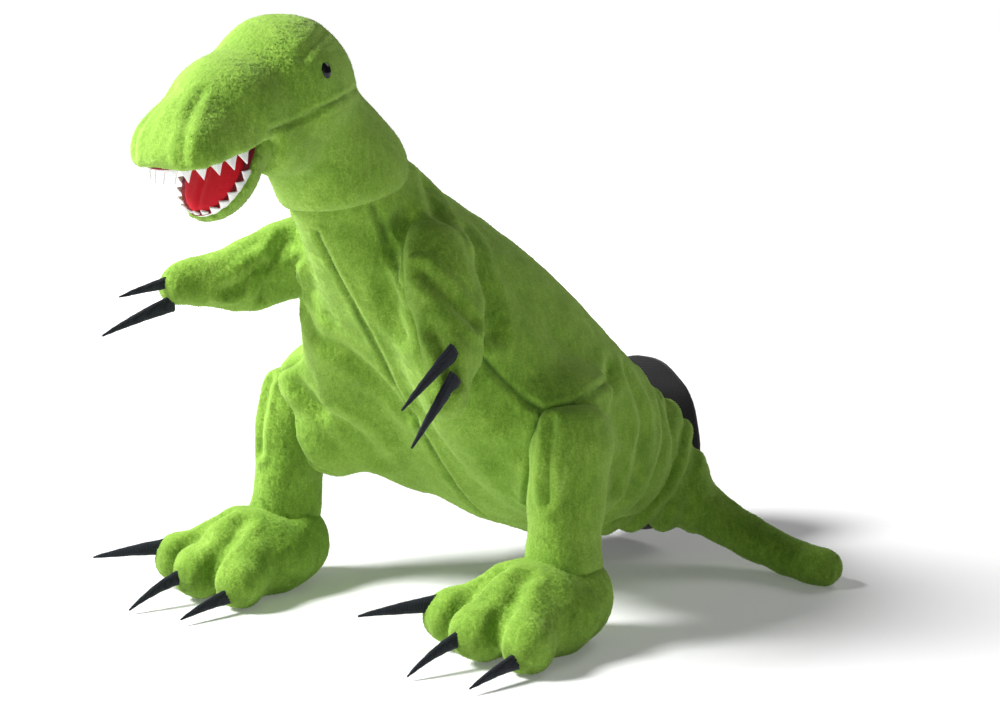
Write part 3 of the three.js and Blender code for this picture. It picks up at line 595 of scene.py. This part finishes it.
ARM_FOLDS = {
    "left": [
        [(74, -31, 242), (85, -28, 233), (94, -23, 222), (98, -12, 212)],
        [(87, -37, 209), (95, -38, 201), (102, -39, 191), (107, -40, 181)]],
    "right": [
        [(-56, -26, 251), (-60, -34, 237), (-64, -39, 222), (-66, -36, 210)],
        [(-72, -62, 219), (-69, -53, 223), (-65, -48, 231), (-62, -40, 235)]],
}
SHIN_FOLD = [(118, 38, 145), (121, 32, 122), (121, 31, 96)]
LEG_FOLDS = {"left": [SHIN_FOLD], "right": [mirrored(SHIN_FOLD, 2 * STRIDE)]}


# ---------------------------------------------------------------- torso

SPINE = [    # back, height, half width, half depth, from the rear hem up to the neck fold
    (238, 63, 56, 49),
    (226, 70, 69, 57),
    (210, 80, 77, 61),
    (178, 97, 90, 70),
    (136, 124, 97, 74),
    (88, 174, 89, 68),
    (43, 218, 73, 57),
    (9, 252, 54, 46),
    (-12, 277, 42, 40),
    (-22, 289, 40, 38.5),
    (-30, 299, 38, 37),
    (-36, 306, 28, 27),
]
FLANK = [    # out, back, height, half width, half depth: a soft roll that fills out each side of the belly
    (40, 2, 238, 20, 20),
    (44, 12, 222, 30, 30),
    (50, 30, 192, 40, 40),
    (56, 52, 160, 44, 45),
    (59, 78, 132, 43, 47),
    (58, 112, 104, 41, 45),
    (54, 150, 84, 34, 38),
    (52, 164, 78, 22, 26),
]
SHOULDER_SWELL = (54, 0, 243, 23, 27, 29)      # out, back, height, then half sizes
HIP_SWELLS = [   # the same, where the legs are sewn on
    (92, 58, 146, 31, 42, 27),
    (86, 66, 114, 28, 40, 38),
]


def spine_stations():
    return [(*spot(0, back, height), half * MM, deep * MM) for back, height, half, deep in SPINE]


def make_torso():
    bm = bmesh.new()
    loft(bm, spine_stations(), sides=40, rings=40)
    for side in SIDES.values():
        roll = [(*spot(side * out, back, height), half * MM, deep * MM)
                for out, back, height, half, deep in FLANK]
        loft(bm, roll, sides=28, rings=26)
        out, back, height, *radii = SHOULDER_SWELL
        ball(bm, spot(side * out, back, height), [radius * MM for radius in radii])
        for out, back, height, *radii in HIP_SWELLS:
            ball(bm, spot(side * out, back + side * STRIDE, height), [radius * MM for radius in radii])
    piece = solid_form("torso_skin", bm)
    merge_forms(piece, voxel=0.0038, rounds=16)
    puff(piece, pressure=2.5, cap=0.0035)
    refine(piece)
    for seam in TORSO_SEAMS:
        sew(piece, seam, 2.0, 2.4, shoulder=0.30)
    for fold in TORSO_FOLDS:
        sew(piece, fold, 3.0, 6.0, shoulder=0.5)
    add_waves(piece, 0.0020, 0.060, seed=3.1, stretch=(1.4, 0.8, 0.8))
    add_waves(piece, 0.0008, 0.014, seed=9.4)
    raise_pile(piece)
    paint_seam_shade(piece, TORSO_SEAMS)
    dress(piece, "green_plush")
    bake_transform(piece)
    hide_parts("back_panel_left", "back_panel_right", "belly_panel_left", "belly_panel_right")


SLEEVE = [   # out, back, height, half width, half depth, from the cuff inwards
    (-12, 290, 73, 57, 66),
    (-12, 264, 75, 53, 59),
    (-12, 238, 77, 48, 50),
    (-12, 210, 83, 39, 40),
    (-10, 178, 95, 37, 37),
    (-7, 136, 123, 35, 35),
    (-5, 88, 173, 34, 34),
    (-2, 43, 217, 32, 32),
    (0, 9, 251, 30, 30),
]

SLEEVE_CLOTH = 0.0014      # thickness


def make_sleeve():
    stations = [(*spot(out, back, height), half * MM, deep * MM) for out, back, height, half, deep in SLEEVE]
    bm = bmesh.new()
    loft(bm, stations, sides=64, rings=70, closed=False)
    bmesh.ops.recalc_face_normals(bm, faces=bm.faces)
    piece = new_object("black_sleeve", bm)
    add_waves(piece, 0.0022, 0.020, seed=5.5, stretch=(1, 0.4, 1))
    wall = piece.modifiers.new("cloth", "SOLIDIFY")
    wall.thickness = SLEEVE_CLOTH
    wall.offset = -1
    apply_modifiers(piece)
    dress(piece, "black_sleeve")
    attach(piece, "torso")
    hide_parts("arm_sleeve")


# ---------------------------------------------------------------- head

NECK_SKIN = [    # back, height, half width, half depth, from the fold over the body up to the nape
    (-23, 283, 31, 30),
    (-24, 287, 40, 39),
    (-27, 295, 43.5, 42.5),
    (-37, 308, 41.5, 40.5),
]
NAPE = [         # above the top of the neck, half width, half depth
    (0, 38.5, 38),
    (20, 36, 35),
    (34, 26, 24),
]
SKULL_MIDDLE = (0, 46, 14)
HEAD_FORMS = [   # middle and half sizes, in millimetres in the head's frame
    (SKULL_MIDDLE, (45.5, 45, 44.5)),
    ((0, -20, 1), (39, 41, 31.5)),        # muzzle
    ((0, -18, 7), (36, 37, 31)),          # top of the muzzle
    ((0, 6, 15), (39.5, 43, 34)),         # bridge between muzzle and skull
]
PAIRED_HEAD_FORMS = [
    ((16, -33, 3), (21.5, 26.5, 25)),     # nostril
    ((16, 22, -2), (24, 28, 30)),         # cheek
]
MOUTH_CUT = ((-100, -178, -100), (100, 6, 0))    # corners of the room below the upper lip


def in_mm(values):
    return [value * MM for value in values]


def make_head():
    bm = bmesh.new()
    neck = [(*spot(0, back, height), half * MM, deep * MM) for back, height, half, deep in NECK_SKIN]
    neck += [(*(NECK_TOP + NECK_UP * above * MM), half * MM, deep * MM) for above, half, deep in NAPE]
    loft(bm, neck, sides=32, rings=20)
    for middle, radii in HEAD_FORMS:
        ball(bm, in_mm(middle), in_mm(radii), HEAD_FRAME)
    for side in SIDES.values():
        for (out, back, up), radii in PAIRED_HEAD_FORMS:
            ball(bm, in_mm((side * out, back, up)), in_mm(radii), HEAD_FRAME)
    piece = solid_form("head_skin", bm)
    merge_forms(piece, voxel=0.003, rounds=9)
    mouth = bmesh.new()
    block(mouth, HEAD_FRAME, *map(in_mm, MOUTH_CUT))
    cut(piece, mouth)
    merge_forms(piece, voxel=0.003, rounds=2)
    refine(piece)
    for seam in HEAD_SEAMS:
        sew(piece, seam, 1.5, 2.0, shoulder=0.2)
    for fold in HEAD_FOLDS:
        sew(piece, fold, 1.3, 3.2, shoulder=0.3)
    add_waves(piece, 0.0012, 0.026, seed=1.7)
    raise_pile(piece, nap=(0, 1, -0.3))
    paint_seam_shade(piece, HEAD_SEAMS, width=1.2)
    dress(piece, "green_plush")
    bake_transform(piece)
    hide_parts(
        "crown_panel_left", "crown_panel_right", "neck_skin_left", "neck_skin_right", "neck_lining")


CHIN_FORMS = [   # middle and half sizes, in millimetres in the jaw's frame
    ((0, -22, 0), (31, 34, 19)),
    ((0, 2, -6), (28.83, 24, 21)),        # throat
]
CHIN_CUT = ((-100, -130, -0.5), (100, 70, 99.5))    # corners of the room above the lower lip


def make_chin():
    bm = bmesh.new()
    for middle, radii in CHIN_FORMS:
        ball(bm, in_mm(middle), in_mm(radii), JAW_FRAME)
    piece = solid_form("chin_skin", bm)
    merge_forms(piece, voxel=0.003, rounds=4)
    top = bmesh.new()
    block(top, JAW_FRAME, *map(in_mm, CHIN_CUT))
    cut(piece, top)
    merge_forms(piece, voxel=0.0025, rounds=2)
    refine(piece)
    raise_pile(piece, nap=(0, 1, -0.5))
    dress(piece, "green_plush")
    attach(piece, "jaw")
    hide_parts("chin_panel")


# ---------------------------------------------------------------- mouth

MOUTH_LINING = 0.0016      # thickness
TONGUE_FORMS = [           # middle and half sizes, in millimetres in the jaw's frame
    ((0, -24, 1), (23.5, 28.5, 5.6)),
    ((0, 0, 1.5), (18.5, 18, 5)),
]


def oval_pad(name, frame_matrix, centre, radii, hollow, around=48, rows=14):
    """A soft oval pad: its rim lies in the frame's level plane and its middle dips or swells by hollow."""
    bm = bmesh.new()
    rings = []
    for row in range(1, rows + 1):
        share = row / rows
        lift = hollow * (1 - share ** 2)
        place = Matrix.Translation((centre[0], centre[1], centre[2] + lift))
        size = Matrix.Diagonal((radii[0] * share, radii[1] * share, 1, 1))
        ring = bmesh.ops.create_circle(bm, segments=around, radius=1, matrix=place @ size)["verts"]
        rings.append(list({edge for vert in ring for edge in vert.link_edges}))
    bmesh.ops.edgeloop_fill(bm, edges=rings[0])
    for inner, outer in zip(rings, rings[1:]):
        bmesh.ops.bridge_loops(bm, edges=inner + outer)
    bmesh.ops.transform(bm, matrix=frame_matrix, verts=bm.verts)
    bmesh.ops.recalc_face_normals(bm, faces=bm.faces)
    piece = new_object(name, bm)
    add_waves(piece, 0.0007, 0.010, seed=2.9)
    wall = piece.modifiers.new("cloth", "SOLIDIFY")
    wall.thickness = MOUTH_LINING
    wall.offset = 0
    apply_modifiers(piece)
    refine(piece)
    return piece


def make_mouth():
    palate = oval_pad("palate_cloth", HEAD_FRAME, (0, -0.016, 0.0004), (0.0345, 0.0425), 0.004)
    dress(palate, "mouth_cloth")
    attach(palate, "head")
    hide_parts("upper_mouth_lining")
    floor = oval_pad("mouth_floor_cloth", JAW_FRAME, (0, -0.019, 0.0010), (0.0275, 0.0345), -0.002)
    dress(floor, "mouth_cloth")
    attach(floor, "jaw")
    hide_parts("lower_mouth_lining")
    bm = bmesh.new()
    for middle, radii in TONGUE_FORMS:
        ball(bm, in_mm(middle), in_mm(radii), JAW_FRAME)
    tongue = solid_form("tongue_pad", bm)
    merge_forms(tongue, voxel=0.0018, rounds=5)
    refine(tongue)
    away = np.abs(coordinates(tongue)[:, 0] - MOUTH.x)
    furrow(tongue, away, 0.0010, 0.0022)
    dress(tongue, "tongue_cloth")
    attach(tongue, "jaw")
    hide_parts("tongue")


TOOTH_FELT = 0.0013        # thickness
TOOTH_ROOT = 0.0024        # how far the strip reaches into the lip
UPPER_TEETH = {
    "half": 0.0335, "long": 0.0350, "ahead": 0.0215, "count": 13, "height": 0.0092, "side": -1, "reach": 98}
LOWER_TEETH = {
    "half": 0.0275, "long": 0.0305, "ahead": 0.0215, "count": 13, "height": 0.0058, "side": 1, "reach": 92}


def make_teeth(name, frame_matrix, body, half, long, ahead, count, height, side, reach):
    """A felt strip cut to pointed teeth and bent along half an oval; side is 1 for teeth that stand up."""
    steps = 6              # points of the outline in each tooth
    bm = bmesh.new()
    base = []
    edge = []
    for k in range(count * steps + 1):
        share = k / (count * steps)
        angle = math.radians(reach) * (2 * share - 1)
        across = abs(2 * ((k % steps) / steps) - 1)
        size = 0.86 + 0.14 * math.cos(angle)
        drop = height * size * (1 - across) ** 1.15
        lean = 0.10 * drop
        for row, out, up in ((base, 0.0, -side * TOOTH_ROOT), (edge, lean, side * drop)):
            row.append(bm.verts.new((
                (half + out) * math.sin(angle), -ahead - (long + out) * math.cos(angle), up)))
    for k in range(count * steps):
        bm.faces.new((base[k], base[k + 1], edge[k + 1], edge[k]))
    bmesh.ops.transform(bm, matrix=frame_matrix, verts=bm.verts)
    bmesh.ops.recalc_face_normals(bm, faces=bm.faces)
    piece = new_object(name, bm)
    felt = piece.modifiers.new("felt", "SOLIDIFY")
    felt.thickness = TOOTH_FELT
    felt.offset = 0
    rounding = piece.modifiers.new("rounding", "BEVEL")
    rounding.width = 0.0003
    rounding.segments = 2
    apply_modifiers(piece)
    dress(piece, "white_felt")
    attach(piece, body)
    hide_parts(name.replace("felt", "strip"))


EYE_SHIFT = Vector((0, 3.5, -3)) * MM    # from the middle of the eye's solid
EYE_PROUD = 0.0036
EYE_RADII = (0.0043, 0.0056, 0.0036)


def make_eyes():
    skull = HEAD_FRAME @ Vector(in_mm(SKULL_MIDDLE))
    for name in SIDES:
        low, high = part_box(name + "_eye")
        middle = (low + high) / 2 + EYE_SHIFT
        outward = (middle - skull).normalized()
        turn = outward.to_track_quat("Z", "Y").to_matrix().to_4x4()
        place = Matrix.Translation(middle + outward * EYE_PROUD) @ turn @ Matrix.Diagonal((*EYE_RADII, 1))
        bm = bmesh.new()
        bmesh.ops.create_uvsphere(bm, u_segments=40, v_segments=24, radius=1, matrix=place)
        piece = solid_form(name + "_glass_eye", bm)
        dress(piece, "eye_gloss")
        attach(piece, "head")
        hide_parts(name + "_eye")


# ---------------------------------------------------------------- claws

HAND_CLAW_WIDTH = 0.0052   # half width at the root
FOOT_CLAW_WIDTH = 0.0058
CLAW_THICK = 0.0024        # half thickness at the root
CLAW_TIP = (0.0005, 0.0006)    # half thickness and half width at the tip
CLAW_SUNK = 0.2            # share of a hand claw's length that stays inside the arm


def make_claw(node, body, root, aim, length, width, bend):
    """A curved talon of doubled felt, from its root inside the plush; bend is how far its tip curls."""
    root = Vector(root)
    aim = Vector(aim).normalized()
    rows = []
    count = 9
    for k in range(count):
        share = k / (count - 1)
        centre = root + aim * length * share + Vector(bend) * (share ** 2)
        thick = CLAW_THICK * (1 - share) ** 0.6 + CLAW_TIP[0]
        breadth = width * (1 - share) ** 0.85 + CLAW_TIP[1]
        rows.append((*centre, thick, breadth))
    bm = bmesh.new()
    loft(bm, rows, sides=20, rings=28)
    piece = solid_form(node + "_felt", bm)
    add_waves(piece, 0.0003, 0.004, seed=length * 90)
    dress(piece, "black_felt")
    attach(piece, body)
    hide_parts(node)


# ---------------------------------------------------------------- arms, legs, feet

ARM = [      # out, back, height, half width, half height, from the shoulder of a level arm
    (-30, 24, 0, 9, 14),
    (-18, 16, 0, 18, 24),
    (-6, -2, 0, 20, 27),
    (4, -20, -2, 19, 25),
    (13, -40, -4, 18, 22),
    (20, -58, -1, 15.5, 17.5),
    (25, -72, 2, 13.5, 14),
    (27, -82, 2, 12, 12),
    (28, -87, 2, 7, 7),
]
ARM_DROP = {"left": 67, "right": 12}
HAND_CLAWS = {   # root and tip of each claw, as out, back and height in the puppet's own frame
    "left": {"outer": ((103, -42, 193), (105, -80, 172)), "inner": ((108, -45, 177), (108, -75, 149))},
    "right": {"outer": ((-97, -78, 227), (-101, -124, 224)), "inner": ((-98, -95, 210), (-101, -138, 201))},
}


def make_arm(name, side):
    joint = JOINT[name + "_arm_swing"]
    place = Matrix.Translation(joint) @ Matrix.Rotation(math.radians(ARM_DROP[name]), 4, "X")
    stations = []
    for out, back, up, half, deep in ARM:
        stations.append((*(place @ Vector((side * out * MM, back * MM, up * MM))), half * MM, deep * MM))
    bm = bmesh.new()
    loft(bm, stations, sides=28, rings=26)
    piece = solid_form(name + "_arm", bm)
    merge_forms(piece, voxel=0.003, rounds=4)
    refine(piece)
    for fold in ARM_FOLDS[name]:
        sew(piece, fold, 3.0, 4.0, shoulder=0.6)
    add_waves(piece, 0.0028, 0.020, seed=2.2 + side)
    raise_pile(piece, nap=(0, -0.6, -1))
    dress(piece, "green_plush")
    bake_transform(piece)
    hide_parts(name + "_arm_skin", name + "_arm_stuffing")
    for label, (root, tip) in HAND_CLAWS[name].items():
        root = spot(*root)
        reach = spot(*tip) - root
        make_claw(name + "_hand_claw_" + label, name + "_arm", root - reach * CLAW_SUNK, reach,
                  reach.length * (1 + CLAW_SUNK), HAND_CLAW_WIDTH, (0, -0.002, -0.004))


LEG = [      # lean from hip to ankle (0 to 1), height below the hip, half width, half depth
    (-0.15, -16, 12, 15),
    (-0.10, -10, 19, 25),
    (0.00, 6, 24, 29),
    (0.30, 26, 24.5, 27),
    (0.60, 50, 23.5, 24.5),
    (0.85, 72, 23, 24),
    (1.00, 86, 24.5, 25),
    (1.00, 93, 24, 24),
    (1.00, 98, 19, 19),
]


def make_leg(name, side):
    hip = JOINT[name + "_leg_swing"]
    ankle = JOINT[name + "_ankle"]
    stations = []
    for lean, down, half, deep in LEG:
        middle = hip.lerp(ankle, lean)
        stations.append((middle.x, middle.y, hip.z - down * MM, half * MM, deep * MM))
    bm = bmesh.new()
    loft(bm, stations, sides=32, rings=30)
    piece = solid_form(name + "_leg", bm)
    merge_forms(piece, voxel=0.0032, rounds=4)
    refine(piece)
    for fold in LEG_FOLDS[name]:
        sew(piece, fold, 2.2, 3.4, shoulder=0.6)
    add_waves(piece, 0.0030, 0.028, seed=4.2 + side)
    raise_pile(piece)
    dress(piece, "green_plush")
    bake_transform(piece)
    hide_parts(name + "_leg_skin", name + "_leg_stuffing")


FOOT_TURN = math.radians(-6)
TOE_FAN = math.radians(30)
TOE_REACH = 0.068
FOOT_FORMS = [   # middle and half sizes, in millimetres from the ankle's place on the floor
    ((0, -22, 26), (41, 46, 31)),         # instep
    ((0, 1, 30), (33.5, 31, 30)),         # heel
    ((0, 0, 42), (27, 27, 14)),           # ankle
]
TOE_RADII = (17, 22.5, 18.5)
TOE_RISE = 20.5                           # of the middle toe
TOE_STEP = 1.5                            # each toe lies this much lower than the one on its right
KNUCKLE_RADII = (17.5, 30, 22.5)          # where a toe leaves the foot
KNUCKLE_RISE = 0.025
CLEFT = ((0.044, 0.052), (0.066, 0.040), (0.082, 0.018), (0.080, 0.000))    # reach and height between toes
FOOT_CLAWS = {   # by place from the dinosaur's right: rise of the root, turn, dip of the tip, length
    -1: (0.030, math.radians(-26), 0.004, 0.046),
    0: (0.021, math.radians(-4), 0.017, 0.040),
    1: (0.013, math.radians(4), 0.008, 0.040),
}


def make_foot(name, side):
    ankle = JOINT[name + "_ankle"]
    floor = Matrix.Translation((ankle.x, ankle.y, 0)) @ Matrix.Rotation(FOOT_TURN, 4, "Z")
    bm = bmesh.new()
    for middle, radii in FOOT_FORMS:
        ball(bm, in_mm(middle), in_mm(radii), floor)
    for place in (-1, 0, 1):
        fan = TOE_FAN * place
        rise = (TOE_RISE - TOE_STEP * place) * MM
        toe = (TOE_REACH * math.sin(fan), -TOE_REACH * math.cos(fan), rise)
        ball(bm, toe, in_mm(TOE_RADII), floor, turn=fan)
        knuckle = (0.6 * toe[0], 0.62 * toe[1], KNUCKLE_RISE)
        ball(bm, knuckle, in_mm(KNUCKLE_RADII), floor, turn=fan)
    piece = solid_form(name + "_foot", bm)
    merge_forms(piece, voxel=0.003, rounds=6)
    flatten_sole(piece, 0.0006)
    puff(piece, pressure=3.0, cap=0.0025)
    flatten_sole(piece, 0.0006)
    refine(piece)
    for place in (-0.5, 0.5):
        fan = TOE_FAN * place
        cleft = [floor @ Vector((reach * math.sin(fan), -reach * math.cos(fan), height))
                 for reach, height in CLEFT]
        furrow(piece, distance_to_path(coordinates(piece), cleft), 0.0036, 0.0050, shoulder=0.35)
    add_waves(piece, 0.0018, 0.018, seed=6.2 + side)
    raise_pile(piece, nap=(0, -1, -0.5))
    flatten_sole(piece, 0.0)
    dress(piece, "green_plush")
    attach(piece, name + "_foot")
    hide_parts(name + "_foot_skin", name + "_foot_stuffing", name + "_foot_sole")
    for place, (rise, turn, dip, length) in FOOT_CLAWS.items():
        fan = TOE_FAN * place
        reach = TOE_REACH + 0.010
        root = floor @ Vector((reach * math.sin(fan), -reach * math.cos(fan), rise))
        aim = Vector((math.sin(turn + FOOT_TURN), -math.cos(turn + FOOT_TURN), 0)) * length
        label = ("inner", "middle", "outer")[1 + place * side]
        make_claw(name + "_foot_claw_" + label, name + "_foot", root, aim + Vector((0, 0, -dip * 0.3)),
                  length + 0.008, FOOT_CLAW_WIDTH, (0, 0, -dip * 0.7))


def flatten_sole(piece, height):
    places = coordinates(piece)
    places[:, 2] = np.maximum(places[:, 2], height)
    set_coordinates(piece, places)


# ---------------------------------------------------------------- tail

TAIL_BASE = [    # out, back, height, half width, half depth
    (30, 168, 98, 20, 48),
    (40, 190, 88, 26, 58),
    (46, 212, 78, 25, 53),
    (53, 233, 64, 22, 40),
    (62, 247, 51, 19.5, 28),
    (72, 256, 43, 18, 19),
    (82, 261, 37, 14, 15),
]
TAIL_PLEATS = (1.6, 2.5, 3.3, 4.1)       # places along the rows of TAIL_BASE
TAIL = [
    (60, 247, 50, 12, 14),
    (70, 254, 44, 17, 19),
    (78, 259, 39, 17.5, 17.5),
    (95, 266, 29, 15.5, 15.5),
    (125, 271, 18.5, 14, 14),
    (152, 270, 14, 13.5, 13.5),
    (170, 268, 13.5, 13, 13),
    (178, 267, 13.2, 10.5, 10.5),
    (182, 266, 13, 5, 5),
]


def tail_stations(rows):
    return [(*spot(out, back, height), half * MM, deep * MM) for out, back, height, half, deep in rows]


def make_tail_base():
    bm = bmesh.new()
    loft(bm, tail_stations(TAIL_BASE), sides=36, rings=30, level=True)
    piece = solid_form("tail_base", bm)
    merge_forms(piece, voxel=0.003, rounds=3)
    refine(piece)
    for row in TAIL_PLEATS:
        whole = int(row)
        low, high = TAIL_BASE[whole], TAIL_BASE[whole + 1]
        share = row - whole
        middle = np.array(spot(*[a + (b - a) * share for a, b in zip(low[:3], high[:3])]))
        along = np.array((spot(*high[:3]) - spot(*low[:3])).normalized())
        offset = coordinates(piece) - middle
        lean = 0.25 * offset[:, 2]
        furrow(piece, np.abs(offset @ along + lean * (row - 2.8)), 0.0017, 0.0040, shoulder=0.8)
    add_waves(piece, 0.0022, 0.018, seed=8.1)
    raise_pile(piece, nap=(0.4, 1, -0.5))
    dress(piece, "green_plush")
    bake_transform(piece)
    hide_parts("tail_base_skin")


def make_tail():
    bm = bmesh.new()
    loft(bm, tail_stations(TAIL), sides=28, rings=36, level=True)
    piece = solid_form("tail", bm)
    merge_forms(piece, voxel=0.0028, rounds=3)
    refine(piece)
    add_waves(piece, 0.0015, 0.016, seed=7.7)
    raise_pile(piece, nap=(1, 0.3, -0.3))
    flatten_sole(piece, 0.0)
    dress(piece, "green_plush")
    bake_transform(piece)
    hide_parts("tail_skin", "tail_stuffing")


# ---------------------------------------------------------------- camera, light, floor

AIM = spot(170.5, -68.2, 203.9)
AZIMUTH = math.radians(42.1)
ELEVATION = math.radians(10.0)
DISTANCE = 1.25
LENS = 79.0


def make_camera():
    camera = bpy.data.objects.new("camera", bpy.data.cameras.new("camera"))
    bpy.context.scene.collection.objects.link(camera)
    direction = Vector((math.sin(AZIMUTH) * math.cos(ELEVATION),
                        -math.cos(AZIMUTH) * math.cos(ELEVATION), math.sin(ELEVATION)))
    camera.location = AIM + direction * DISTANCE
    camera.rotation_euler = (-direction).to_track_quat("-Z", "Y").to_euler()
    camera.data.lens = LENS
    camera.data.sensor_width = 36.0
    bpy.context.scene.camera = camera


def make_light(name, place, size, power, aim=Vector((0, 0, 0.18))):
    lamp = bpy.data.lights.new(name, "AREA")
    lamp.shape = "DISK"
    lamp.size = size
    lamp.energy = power
    holder = bpy.data.objects.new(name, lamp)
    holder.location = place
    holder.rotation_euler = (aim - Vector(place)).to_track_quat("-Z", "Y").to_euler()
    bpy.context.scene.collection.objects.link(holder)


def make_studio():
    bm = bmesh.new()
    bmesh.ops.create_grid(bm, x_segments=1, y_segments=1, size=60)
    floor = new_object("studio_floor", bm)
    material, tree, shader = new_material("studio_paper")
    shader.inputs["Base Color"].default_value = (0.84, 0.84, 0.84, 1)
    shader.inputs["Roughness"].default_value = 0.9
    shader.inputs["Emission Color"].default_value = (1, 1, 1, 1)
    distance = add_node(tree, "ShaderNodeVectorMath", operation="LENGTH")
    tree.links.new(object_coordinates(tree), distance.inputs[0])
    glow = add_node(tree, "ShaderNodeMapRange", interpolation_type="SMOOTHSTEP")
    for socket, value in {"From Min": 0.5, "From Max": 1.8, "To Min": 0.13, "To Max": 0.95}.items():
        glow.inputs[socket].default_value = value
    tree.links.new(distance.outputs["Value"], glow.inputs["Value"])
    tree.links.new(glow.outputs["Result"], shader.inputs["Emission Strength"])
    floor.data.materials.append(material)
    make_light("key", (-1.1, -1.7, 2.0), 0.9, 150)
    make_light("fill", (1.9, -1.6, 1.0), 1.8, 3)
    make_light("back", (0.3, 1.6, 1.9), 1.2, 8)
    world = bpy.data.worlds.new("studio")
    world.use_nodes = True
    world.node_tree.nodes["Background"].inputs["Color"].default_value = (1, 1, 1, 1)
    world.node_tree.nodes["Background"].inputs["Strength"].default_value = 0.08
    scene = bpy.context.scene
    scene.world = world
    scene.view_settings.view_transform = "Standard"


# ---------------------------------------------------------------- making it all

make_camera()
make_studio()
dress_frame_nodes()
make_torso()
make_sleeve()
make_head()
make_chin()
make_mouth()
make_teeth("upper_teeth_felt", HEAD_FRAME, "head", **UPPER_TEETH)
make_teeth("lower_teeth_felt", JAW_FRAME, "jaw", **LOWER_TEETH)
make_eyes()
for limb_name, limb_side in SIDES.items():
    make_arm(limb_name, limb_side)
    make_leg(limb_name, limb_side)
    make_foot(limb_name, limb_side)
make_tail_base()
make_tail()
